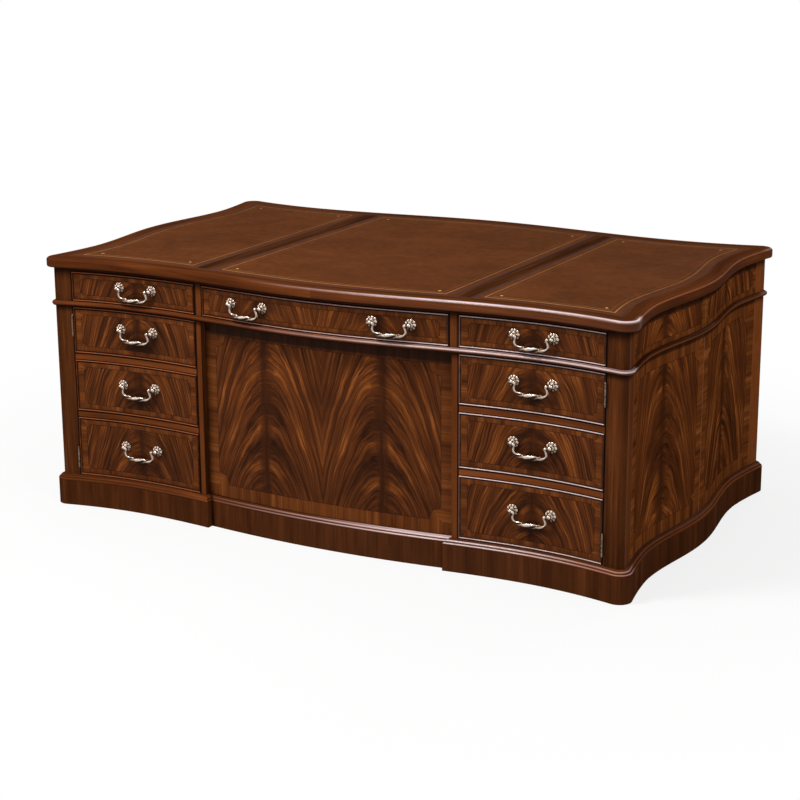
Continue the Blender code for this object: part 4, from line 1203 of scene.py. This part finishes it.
def make_waist():
    """Board between frieze and pedestals, with the waist moulding on its edge."""
    waist = Build("waist_board")
    rings = sweep(waist, WAIST_PROFILE, full_outline, 0, 17.0)
    for ring in (rings[0], rings[-1]):
        waist.cap(ring[:-1], [(x, y, 18.0) for x, y, _ in ring[:-1]], slot=1)
    place("waist_board", waist.mesh((MOULDING, STILE)), ["waist_moulding"])


def leather_corner():
    """Front right corner of the leather's outer edge."""
    corner_x, corner_y = HALF_WIDTH - LEATHER_MARGIN, HALF_DEPTH - LEATHER_MARGIN
    for _ in range(CORNER_STEPS):
        corner_x = side_line(corner_y) - LEATHER_MARGIN
        corner_y = front_line(corner_x) - LEATHER_MARGIN
    return corner_x, corner_y


JOINT_GREY_BAND = 0.85
JOINT_WIDTH = 0.011
STRIP_EDGE = 0.0075
STRIP_SHADE = 0.5
BORDER_SHARES = (0, 0.3, 0.55, 0.7, 0.8, 0.9, 1)


def make_top():
    """Top board: moulded edge, crossbanded border and the bed of the leathers."""
    top = Build("top_board")
    rings = sweep(top, TOP_PROFILE, full_outline, 0, 19.0, TOP_PAINTED_LIGHT_LEFT)
    top.cap(rings[0][:-1], [(x, y, 20.0) for x, y, _ in rings[0][:-1]], slot=1)
    corner_x, corner_y = leather_corner()
    edge = []
    for x, y in full_outline(0):
        hand, side = math.copysign(1, x), math.copysign(1, y)
        if abs(y) > SIDE_END or abs(abs(y) - front_line(x)) < SLOPE_STEP:
            along = corner_x * min(1, abs(x) / FRONT_END)
            edge.append((hand * along, side * (front_line(along) - LEATHER_MARGIN)))
        else:
            along = corner_y * min(1, abs(y) / SIDE_END)
            edge.append((hand * (side_line(along) - LEATHER_MARGIN), side * along))
    edge.append(edge[0])
    outer = np.array(rings[-1])
    inner = np.array([(x, y, DESK_TOP) for x, y in edge])
    lengths = loop_lengths(outer[:-1, :2].tolist())
    width = np.linalg.norm(outer - inner, axis=1)
    rows, figures, highs = [], [], []
    for share in BORDER_SHARES:
        rows.append(outer + (inner - outer) * share)
        figures.append([(length, across * share, 23.0) for length, across in zip(lengths, width)])
        gaps = width * (1 - share)
        # Greyish band along the leather's edge
        highs.append([(0, 0, JOINT_GREY_BAND * max(0, 1 - gap / JOINT_WIDTH)) for gap in gaps])
    top.grid(rows, figures, high=highs, slot=2)
    sunk = inner - (0, 0, LEATHER_THICKNESS)
    top.grid([inner, sunk], (0, 0, 23.0), slot=2)
    top.cap(sunk[:-1], sunk[:-1], slot=1)
    place("top_board", top.mesh((MOULDING, STILE, CROSSBAND)), ["desk_top"])


def make_strip(side, hand):
    """Strip of the board between two leathers."""
    strip = Build(f"top_strip_{side}")
    x_from, x_to = handed(STRIP_INNER, STRIP_OUTER, hand)
    xs = spread(x_from, x_to, 12)
    # Nearness to the strip's edges, which sets the shade and the greyish band there
    edge_shares = [1 - rising(min(x - x_from, x_to - x), 0, STRIP_EDGE) for x in xs]
    rows = np.array([[(x, share * (front_line(x) - LEATHER_MARGIN - FIT), DESK_TOP) for x in xs]
                     for share in spread(-1, 1, 24)])
    base = rows - (0, 0, LEATHER_THICKNESS - FIT)
    figures = np.insert(rows[..., (1, 0)], 2, 25.0 + hand, -1)
    strip.grid(rows, figures, [[(1, 1, STRIP_SHADE * edge) for edge in edge_shares]] * len(rows),
               [[(0, 0, edge) for edge in edge_shares]] * len(rows))
    strip.grid(base, figures)
    strip.rim(rows, base, (0, 0, 25.0))
    place(f"top_strip_{side}", strip.mesh((STILE,)))


GILT_ZONE = (0.40, 0.06)
FIELD_INSET = 0.005
LEATHER_STEPS = 12


def gilt(x, y):
    """How much gold is left in the tooling: most along the visitor's side."""
    near = rising(-y, *GILT_ZONE)
    return (0.36 + 0.16 * rising(-y, 0, 0.4)) * (1 - near) + (0.6 + 0.25 * rising(x, -0.4, 1)) * near


def make_leather(side, hand):
    """One leather panel, with distances to its edges for the gold tooling."""
    margin = LEATHER_MARGIN + FIT
    inner = STRIP_OUTER + FIT if hand else FIT - STRIP_INNER
    first_reach = leather_corner()[0] if hand else -inner

    def cell(share_x, share_y):
        reach = first_reach
        for _ in range(LEATHER_STEPS):
            x = inner + share_x * (reach - inner)
            y = share_y * (front_line(x) - margin)
            if hand:
                reach = side_line(y) - margin
        tilt, side_tilt = (math.cos(math.atan(slope(line, along)))
                           for line, along in ((front_line, x), (side_line, y)))
        right = (reach - x) * side_tilt if hand else reach - x - FIELD_INSET
        limit = front_line(x) - margin
        low = (x - inner - FIELD_INSET, (y + limit) * tilt, gilt(x if hand >= 0 else -x, y))
        return (x, y, DESK_TOP - LEATHER_SINK), low, (right, (limit - y) * tilt, 0)

    rows, lows, highs = cells(spread(-1, 1, 40), spread(0, 1, 36), cell)
    rows = rows * ((-1 if hand < 0 else 1), 1, 1)
    under = rows.copy()
    under[..., 2] = DESK_TOP - LEATHER_THICKNESS + FIT
    panel = Build(f"leather_skin_{side}")
    panel.grid(rows, rows, lows, highs)
    panel.grid(under, under)
    panel.rim(rows, under, lambda strip, way: strip, (0, 0, 0))
    place(f"leather_skin_{side}", panel.mesh((LEATHER,)), [f"leather_{side}"], slot="tan_leather")


# Drawer faces, doors and their fittings

def bead_places(start, end, segments):
    """Places from edge to edge of a beaded field, close together in the beads."""
    first = [start + place for place, _, _ in BEAD_PROFILE]
    last = [end - place for place, _, _ in reversed(BEAD_PROFILE)]
    return first + spread(first[-1], last[0], segments)[1:-1] + last


BEAD_IN, BEAD_UP, BEAD_PAINTED_LIGHT = np.array(BEAD_PROFILE).T
# Places on a rail, out from a bead: where it is sunk, and where its painted shade ends
RAIL_GROOVE = (0.0006, 0.0020, 0.0026, 0.0044, 0.0052)
HAIR = 0.00001
RIGHT_GAP = 0.0026
# Painted highlight kept on the right-hand bead, the upright beads and the top bead, and painted shade kept
# in the upright and level grooves
RIGHT_BEAD_HIGHLIGHT = 0.08
UPRIGHT_BEAD_HIGHLIGHT = 0.1
TOP_BEAD_HIGHLIGHT = 0.55
GROOVE_UPRIGHT = 0.45
GROOVE_LEVEL = 0.35
REAR_PLACE = 0.4


def relief(x, z, field, fields):
    """Height and painted light of a beaded board at a place in a field, or on a rail: painted shade below
    0, painted highlight above.
    """
    x_from, x_to = fields[0].along
    side = min(x - x_from, x_to - x)
    if not field:
        # On a rail: sunk right beside a bead, and painted shade within a few millimetres of it
        gap = min(abs(z - edge) for other in fields for edge in other.up)
        above = min([other.up[0] - z for other in fields if other.up[0] > z], default=1)
        flush = gap > RAIL_GROOVE[0] + HAIR and side > RAIL_GROOVE[0]
        lit = gap > RAIL_GROOVE[1] + HAIR and above > RAIL_GROOVE[3] + HAIR and side > RAIL_GROOVE[0]
        return 0.0 if flush else -RAIL_GROOVE[0], 0.0 if lit else -1.0
    depth = min(side, z - field.up[0], field.up[1] - z)
    rise, painted_light = np.interp(depth, BEAD_IN, BEAD_UP), np.interp(depth, BEAD_IN, BEAD_PAINTED_LIGHT)
    if painted_light > 0:
        painted_light *= UPRIGHT_BEAD_HIGHLIGHT if depth == side else 1.0
        painted_light *= TOP_BEAD_HIGHLIGHT if z > fields[-1].up[1] - BEAD_WIDTH else 1.0
    elif painted_light < 0 and depth > BEAD_WIDTH / 2 and depth != field.up[1] - z:
        painted_light *= GROOVE_UPRIGHT if depth == side else GROOVE_LEVEL
    # Painted shade along the right-hand edge, with little highlight on its bead
    if depth == side and x > (x_from + x_to) / 2:
        painted_light = -1.0 if side < RIGHT_GAP else min(painted_light, RIGHT_BEAD_HIGHLIGHT)
    return rise, painted_light


def beaded_mesh(name, fields, back, flip=False):
    """Board with a serpentine front, whose fields have beads round them."""
    xs = bead_places(*fields[0].along, 30 if len(fields[0].hearts) == 1 else 56)
    zs = [z for field in fields for z in bead_places(*field.up, 16)]
    for below, above in zip(fields, fields[1:]):
        zs += [below.up[1] + place for place in RAIL_GROOVE]
        zs += [above.up[0] - place for place in RAIL_GROOVE]
    zs.sort()

    def cell(x, z):
        field = next((f for f in fields if f.up[0] <= z <= f.up[1]), None)
        rise, painted_light = relief(x, z, field, fields)
        across, out = beside(front_line, x, rise)
        flame = (field or fields[0]).marks(x, z)
        highlight_paleness = highlight_paleness_at(REAR_PLACE if flip else x, -1)
        return (across, -out, z), *flame, (arc(FRONT_ARC, x), z, 27.0), (painted_light, highlight_paleness, 0)

    rows, lows, highs, figures, plain_figures, plain_highs = cells(zs, xs, cell)
    mid_x, mid_z = ((np.array(places[:-1]) + np.array(places[1:])) / 2 for places in (xs, zs))
    inset = np.minimum(mid_x - fields[0].along[0], fields[0].along[1] - mid_x)
    beads = np.zeros((len(mid_z), len(mid_x)), bool)
    panels = beads.copy()
    for field in fields:
        within = ((mid_z > field.up[0]) & (mid_z < field.up[1]))[:, None]
        depth = np.minimum(inset[None, :], np.minimum(mid_z - field.up[0], field.up[1] - mid_z)[:, None])
        panels |= within & (depth > BEAD_WIDTH)
        beads |= within & (depth <= BEAD_WIDTH)
    build = Build(name)
    build.grid(rows, figures, lows, highs, slot=0, keep=panels)
    for slot, keep in ((1, beads), (2, ~(beads | panels))):
        build.grid(rows, plain_figures, high=plain_highs, slot=slot, keep=keep)
    rear = np.array([[(x, back(x), z) for x, _, z in row] for row in rows])
    build.grid(rear, [[(x, z, 28.0) for x, _, z in row] for row in rear], slot=2)
    # Edges of the board with painted shade
    build.rim(rows, rear, lambda strip, way: np.insert(strip[..., (way, 1)], 2, 28.0, -1),
              high=(-0.9, 0, 0), slot=2)
    return build.mesh((FLAME, MOULDING, RAIL))


def make_face(name, field, user_side):
    """Drawer face with a bead round its flame veneer."""
    back = face_back(field.along[0] - REVEAL, field.along[1] + REVEAL)
    mesh = beaded_mesh(f"{name}_front", [field], lambda x: back, user_side)
    if user_side:
        mesh.transform(Matrix.Rotation(math.pi, 4, "Z"))
    place(f"{name}_front", mesh, [f"{name}_face"], name)


FALSE_DRAWERS = {
    "lower": (DOOR_BASE, LOWER_TOP), "middle": (MIDDLE_BASE, MIDDLE_TOP), "upper": (UPPER_BASE, DOOR_TOP),
}


def make_door(side, hand):
    """Cupboard door with three false drawers."""
    fields = [Panel(opening(REVEAL, hand), level, *DOOR_BORDER, 50.0 + 7 * hand + number,
                    pulls=[(hand * OPENING_MIDDLE, sum(level) / 2 + PEDESTAL_RISE)])
              for number, level in enumerate(FALSE_DRAWERS.values())]
    mesh = beaded_mesh(f"door_front_{side}", fields, lambda x: -front_line(x) + DOOR_THICKNESS)
    place(f"door_front_{side}", mesh, [f"door_{side}"], f"door_{side}")


def front_frame(x, z):
    """Place of a pull: midway between its posts' feet, along their chord."""
    ends = [Vector((end, -front_line(end), z)) for end in (x - PULL_SPACING / 2, x + PULL_SPACING / 2)]
    chord = ends[1] - ends[0]
    turn = Matrix.Rotation(math.atan2(chord.y, chord.x), 4, "Z")
    return Matrix.Translation((ends[0] + ends[1]) / 2) @ turn


PETALS = 9
ROSETTE_SHARES = (
    1.0, 1.0, 0.985, 0.96, 0.92, 0.87, 0.82, 0.76, 0.70,
    0.64, 0.59, 0.55, 0.52, 0.50, 0.46, 0.41, 0.35, 0.29,
)
ROSETTE_RADIUS = 0.0168
BOSS_SHARE = 0.50
POST_PROFILE = (
    (0.0050, 0.0066), (0.0046, 0.0078), (0.0050, 0.0090), (0.0061, 0.0104), (0.0069, 0.0122),
    (0.0072, 0.0142), (0.0068, 0.0164), (0.0056, 0.0184), (0.0040, 0.0198), (0.0022, 0.0206), (0.0, 0.0209),
)
PIN_RADIUS = 0.0036
PIN_REACH = 0.01
PIN_START = 0.0145
ROSETTE_FOOT = -0.002


def rosette_point(share, angle):
    """Radius, height and darkness of a rosette at a share of its radius."""
    lobe = abs(math.cos(angle * PETALS / 2)) ** 0.6
    swell = math.sqrt(max(0.0, 1 - ((share - 0.76) / 0.30) ** 2))
    height = 0.0010 + 0.0024 * (1 - share ** 2) + 0.0026 * swell * lobe
    dark = swell * (1 - lobe) * 0.8
    if share < BOSS_SHARE + 0.06:
        boss = math.sqrt(max(0.0, 1 - (share / (BOSS_SHARE + 0.06)) ** 2))
        height = 0.0034 + 0.0036 * boss
        dark = 0.8 * (1 - boss) ** 3
    dark = max(dark, 0.6 * math.exp(-((share - BOSS_SHARE - 0.05) / 0.045) ** 2))
    spot = math.hypot(share * abs(math.cos(angle)) - 0.42, share * math.sin(angle) - 0.36)
    dark = max(dark, math.exp(-(spot / 0.13) ** 2))
    radius = ROSETTE_RADIUS * share * (1 - 0.075 * (1 - lobe) * share ** 4)
    shade = 0.5 * max(0.0, -math.sin(angle)) * share
    return radius, height, min(1.0, dark + shade)


def pull_mount_mesh():
    """Two rosettes with their posts and rounded eyes, seen along +Y."""
    build = Build("pull_mount")
    angles = spread(0, math.tau, 90)
    sections = [*enumerate(ROSETTE_SHARES), *POST_PROFILE]
    for centre in (-PULL_SPACING / 2, PULL_SPACING / 2):
        def cell(a, section):
            if section in POST_PROFILE:
                radius, rise = section
                # Darker near the foot, with painted shade on the underside
                dark = (0.75 if rise < 0.009 else 0.0) + 0.5 * max(0.0, -math.sin(a))
            else:
                number, share = section
                radius, height, dark = rosette_point(share, a)
                rise = height if number else ROSETTE_FOOT
                dark = max(dark, 0.6 if number < 2 else 0.0)
            return (centre + radius * math.cos(a), -rise, radius * math.sin(a)), (dark, 0, 0)

        build.tube(*cells(sections, angles, cell), (0,))
        inward = -math.copysign(PIN_REACH, centre)
        pin = [[(centre + share * inward,
                 PIN_RADIUS * math.cos(a) - PIN_START - share * (POST_REACH - PIN_START),
                 PIN_RADIUS * math.sin(a)) for a in angles[::6]] for share in spread(0, 1, 3)]
        build.tube(pin, (0.5, 0, 0))
    return build.mesh((BRASS,), 50)


# Right half of a bail from its pivot: place, drop, girth and leaf relief
BAIL_PATH = (
    (0.905, 0.00, 0.60, 0.0), (0.885, 0.00, 1.10, 0.0), (0.855, 0.00, 1.42, 0.0), (0.825, 0.01, 1.52, 0.0),
    (0.800, 0.05, 1.42, 0.0), (0.792, 0.11, 1.08, 0.0), (0.800, 0.18, 0.90, 0.0), (0.822, 0.28, 0.92, 0.0),
    (0.848, 0.40, 1.00, 0.1), (0.862, 0.52, 1.06, 0.2), (0.858, 0.63, 1.10, 0.3), (0.832, 0.74, 1.16, 0.5),
    (0.782, 0.83, 1.26, 0.8), (0.715, 0.90, 1.42, 1.0), (0.63, 0.945, 1.62, 1.0), (0.54, 0.970, 1.76, 1.0),
    (0.45, 0.983, 1.72, 0.8), (0.39, 0.988, 1.50, 0.4), (0.33, 0.992, 1.86, 0.8), (0.25, 0.996, 2.16, 1.0),
    (0.16, 1.0, 2.34, 1.0), (0.08, 1.0, 2.36, 1.0), (0.0, 1.0, 2.20, 0.6),
)
BAIL_LOBES = 3
BAIL_SIDES = 30
BAIL_TWIST = 40


def smooth_path(points, steps):
    """Points along a curve through the given ones."""
    points = np.array(points, float)
    padded = np.concatenate((2 * points[:1] - points[1:2], points, 2 * points[-1:] - points[-2:-1]))
    out = []
    for a, b, c, d in zip(padded, padded[1:], padded[2:], padded[3:]):
        for step in range(steps):
            t = step / steps
            out.append(0.5 * (2 * b + (c - a) * t + (2 * a - 5 * b + 4 * c - d) * t * t
                              + (3 * b - a - 3 * c + d) * t ** 3))
    return np.array(out + [points[-1]])


def bail_mesh():
    """Swan-neck bail in its own frame, its pivots on the x axis."""
    half = PULL_SPACING / 2
    right = np.array(BAIL_PATH)
    left = right * (-1, 1, 1, 1)
    path = smooth_path(np.concatenate((left, right[::-1][1:])), 4)
    places = np.stack((path[:, 0] * half, path[:, 1] * BAIL_LEAN, -path[:, 1] * BAIL_DROP), -1)
    headings = np.gradient(places, axis=0)
    headings[0] = headings[-1] = (1, 0, 0)
    headings /= np.linalg.norm(headings, axis=1)[:, None]
    across = np.cross((0, 1, 0), headings)

    def cell(angle, section):
        spot, side_way, (place, _, girth, leaf) = section
        lobe = abs(math.cos((angle + BAIL_TWIST * half * place) * BAIL_LOBES / 2))
        radius = BAIL_RADIUS * (girth + leaf * (0.34 * lobe ** 0.8 - 0.22))
        spoke = side_way * math.cos(angle) + np.array((0, 1, 0)) * math.sin(angle)
        neck = max(0.0, 1.0 - girth) * 1.5
        # Painted shade on the underside
        under = 0.6 * max(0.0, -spoke[2]) + 0.05
        return spot + radius * spoke, (min(1.0, leaf * (1 - lobe) ** 1.5 * 1.1 + neck + under), 0, 0)

    build = Build("bail")
    build.tube(*cells(zip(places, across, path), spread(0, math.tau, BAIL_SIDES), cell))
    return build.mesh((BRASS,), 60)


MOUNT_MESH = pull_mount_mesh()
BAIL_MESH = bail_mesh()


def make_pull(name, body, x, z, user_side):
    """One pull: its rosettes on a face, and its bail on a body of its own."""
    turn = Matrix.Rotation(math.pi if user_side else 0, 4, "Z")
    home = turn @ front_frame(x, z)
    place(f"mount_{name}", MOUNT_MESH, (), body, "antique_brass", home)
    hang = home @ Matrix.Translation((0, -POST_REACH, 0))
    place(f"swan_{name}", BAIL_MESH, [f"bail_{name}"], f"bail_{name}", "antique_brass", hang)


def lathe(build, axis, profile, sides=24):
    """Turned shape round an upright axis, from (radius, height) pairs."""
    angles = spread(0, math.tau, sides)
    rows = [[(axis[0] + r * math.cos(a), axis[1] + r * math.sin(a), z) for a in angles] for r, z in profile]
    build.tube(rows, (0.42, 0, 0), ())


def plate(build, x_range, y_range, z_range):
    """Thin hinge leaf."""
    corners = rectangle(x_range, y_range)
    build.tube([[(x, y, z) for x, y in corners + corners[:1]] for z in z_range], (0.3, 0, 0))


KNUCKLE_SOFT = 0.0005
# Tip of a hinge pin: share of the knuckle's radius, and drop below its base
TIP_PROFILE = ((0.0, 0.0022), (0.4, 0.00198), (0.62, 0.0011), (0.5, 0.00022), (0.5, 0.0))


def knuckle(start, end):
    """Outline of a barrel of a hinge, from its softened lower rim to its closed top."""
    r, soft = KNUCKLE_RADIUS, KNUCKLE_SOFT
    return [(r - soft, start), (r, start + soft), (r, end - soft), (r - soft, end), (0, end)]


def make_hinge(side, level, base, hand):
    """Butt hinge: two fixed knuckles with tips, and the door's knuckle between."""
    axis = hinge_axis(hand)
    top = base + HINGE_HEIGHT
    first, second = base + HINGE_HEIGHT / 3, base + 2 * HINGE_HEIGHT / 3
    leaf = (axis[1] + 0.6 * KNUCKLE_RADIUS, axis[1] + KNUCKLE_RADIUS + LEAF_DEPTH)
    tip = [(share * KNUCKLE_RADIUS, base - drop) for share, drop in TIP_PROFILE]
    lower = tip + knuckle(base, first - FIT)
    fixed = Build(f"hinge_fixed_{side}_{level}")
    lathe(fixed, axis, lower)
    lathe(fixed, axis, [(r, base + top - z) for r, z in reversed(lower)])
    plate(fixed, handed(OPENING_OUTER, OPENING_OUTER + LEAF_THICKNESS, hand), leaf, (base, top))
    moving = Build(f"hinge_moving_{side}_{level}")
    lathe(moving, axis, [(0, first)] + knuckle(first, second))
    x_range = handed(OPENING_OUTER - REVEAL - 0.0002, OPENING_OUTER - REVEAL + FIT, hand)
    plate(moving, x_range, leaf, (first, second))
    place(fixed.name, fixed.mesh((BRASS,), 40), [f"hinge_{side}_{level}"], slot="antique_brass")
    place(moving.name, moving.mesh((BRASS,), 40), (), f"door_{side}", "antique_brass")


CENTRE_HEARTS = (-0.2, 0.2)


def make_fronts():
    """All the drawer faces, doors, pulls and hinges."""
    centre = (REVEAL - CENTRE_OPENING, CENTRE_OPENING - REVEAL)
    frieze_z = sum(FRIEZE_FACE) / 2 + FRIEZE_RISE
    for row, user_side in (("front", False), ("rear", True)):
        middle = f"{row}_drawer_centre"
        for side, hand in SIDES:
            local = -hand if user_side else hand
            pull = (local * OPENING_MIDDLE, frieze_z)
            seed = 60.0 + 3 * hand + 9 * user_side
            field = Panel(opening(REVEAL, local), FRIEZE_FACE, *FRIEZE_BORDER, seed, pulls=[pull])
            make_face(f"{row}_drawer_{side}", field, user_side)
            make_pull(f"{row}_{side}", f"{row}_drawer_{side}", *pull, user_side)
            make_pull(f"{row}_centre_{side}", middle, local * CENTRE_PULL, frieze_z, user_side)
        pulls = [(-CENTRE_PULL, frieze_z), (CENTRE_PULL, frieze_z)]
        field = Panel(centre, FRIEZE_FACE, *FRIEZE_BORDER, 71.0 + user_side, CENTRE_HEARTS, pulls=pulls)
        make_face(middle, field, user_side)
    for side, hand in SIDES:
        for tier, z_range in (("upper", (UPPER_BASE, DOOR_TOP)), ("file", (DOOR_BASE, MIDDLE_TOP))):
            pull = (-hand * OPENING_MIDDLE, sum(z_range) / 2 + PEDESTAL_RISE)
            seed = 80.0 + 2 * hand + len(tier)
            field = Panel(opening(REVEAL, -hand), z_range, *DOOR_BORDER, seed, pulls=[pull])
            make_face(f"{tier}_drawer_{side}", field, True)
            make_pull(f"{tier}_{side}", f"{tier}_drawer_{side}", *pull, True)
        make_door(side, hand)
        for level, z_range in FALSE_DRAWERS.items():
            z = sum(z_range) / 2 + PEDESTAL_RISE
            make_pull(f"door_{side}_{level}", f"door_{side}", hand * OPENING_MIDDLE, z, False)
        for level, base in hinge_levels().items():
            make_hinge(side, level, base, hand)


make_frieze()
make_waist()
make_skirting()
make_panel()
make_top()
for side, hand in SIDES:
    make_strip(side, hand)
for side, hand in (("left", -1), ("centre", 0), ("right", 1)):
    make_leather(side, hand)
for side, hand in SIDES:
    make_pedestal(side, hand)
    make_plinth(side, hand)
make_fronts()
for name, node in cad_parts.items():
    if name.endswith("_box") or name.startswith("shelf_"):
        node.data.materials.clear()
        node.data.materials.append(MAPLE)


# Studio

# Lamps: place, target, size, power and colour
LAMPS = {
    "key": ((-0.8, -2.0, 3.6), (0.3, -0.4, 0.3), (0.8, 0.8), 100, (1.0, 0.97, 0.97)),
    "front": ((4.6, -3.0, 2.6), (0.3, 0, 0.4), (2.0, 1.8), 60, (1, 1, 1)),
    "fill": ((-3.6, -3.4, 2.0), (0, 0, 0.4), (2.4, 2.4), 40, (1.0, 0.96, 0.92)),
    "rear": ((1.0, 4.6, 3.0), (0, 0, 0.4), (2.4, 2.0), 50, (1, 1, 1)),
}
FLOOR_HALF = 30
PHOTO_SIZE = 800
FOCAL_PIXELS = 1935.65
PHOTO_CENTRE = (399.31, 393.66)
SENSOR = 36
# Azimuth, elevation and roll in degrees
CAMERA_ANGLES = (28.6187, 15.2792, -0.3392)
CAMERA_DISTANCE = 5.9051
CAMERA_TARGET = (0.045, -0.1669, 0.38)


def put_in_scene(name, data):
    """Object with its data, turned by a quaternion."""
    item = bpy.data.objects.new(name, data)
    item.rotation_mode = "QUATERNION"
    bpy.context.scene.collection.objects.link(item)
    return item


def seen(n):
    """1 for rays from the camera, a mirror or glass, 0 for the light that falls on the desk."""
    kinds = ("Camera", "Glossy", "Transmission")
    return n.most(*(n.add("LightPath", (), f"Is {kind} Ray") for kind in kinds))


def make_floor():
    """Pale floor that turns white away from the desk."""
    mesh = bpy.data.meshes.new("floor")
    ends = (-FLOOR_HALF, FLOOR_HALF)
    mesh.from_pydata([(x, y, 0) for x in ends for y in ends], [], [(0, 2, 3, 1)])
    put_in_scene("floor", mesh)
    n = material("floor_paper")
    n.finish((240, 240, 240), 0.9)
    position = n.add("NewGeometry", (), "Position")
    reach = n.add("VectorMath", (position,), "Value", operation="LENGTH")
    share = seen(n) * n.span(reach, 1.0, 2.4, 0.8, 1.0, smooth=True)
    paper = Value(n, n.shader.outputs[0])
    mixed = n.add("MixShader", (share, paper, n.add("Emission", ())))
    n.put(n.tree.nodes["Material Output"].inputs[0], mixed)
    mesh.materials.append(n.owner)


def make_studio():
    """White surroundings, soft lamps and the photograph's camera."""
    world = bpy.data.worlds.new("studio")
    n = Nodes(world, "Background")
    n.put(n.shader.inputs["Color"], (255, 255, 255))
    n.put(n.shader.inputs["Strength"], n.span(seen(n), 0.0, 1.0, 0.38, 1.0))
    for name, (location, target, size, power, colour) in LAMPS.items():
        data = bpy.data.lights.new(name, "AREA")
        data.shape = "RECTANGLE"
        data.size, data.size_y = size
        data.energy = power
        data.color = colour
        lamp = put_in_scene(name, data)
        lamp.location = location
        lamp.rotation_quaternion = (Vector(target) - Vector(location)).to_track_quat("-Z", "Y")

    data = bpy.data.cameras.new("camera")
    data.lens = FOCAL_PIXELS / PHOTO_SIZE * SENSOR
    data.sensor_width = SENSOR
    data.shift_x = (PHOTO_SIZE / 2 - PHOTO_CENTRE[0]) / PHOTO_SIZE
    data.shift_y = (PHOTO_CENTRE[1] - PHOTO_SIZE / 2) / PHOTO_SIZE
    data.clip_start, data.clip_end = 0.1, 100
    azimuth, elevation, roll = map(math.radians, CAMERA_ANGLES)
    back = Vector((math.sin(azimuth) * math.cos(elevation), -math.cos(azimuth) * math.cos(elevation),
                   math.sin(elevation)))
    camera = put_in_scene("camera", data)
    camera.location = Vector(CAMERA_TARGET) + back * CAMERA_DISTANCE
    rolled = Matrix.Rotation(roll, 3, "Z").to_quaternion()
    camera.rotation_quaternion = (-back).to_track_quat("-Z", "Y") @ rolled
    scene = bpy.context.scene
    scene.world = world
    scene.camera = camera
    scene.view_settings.view_transform = "Standard"


make_floor()
make_studio()
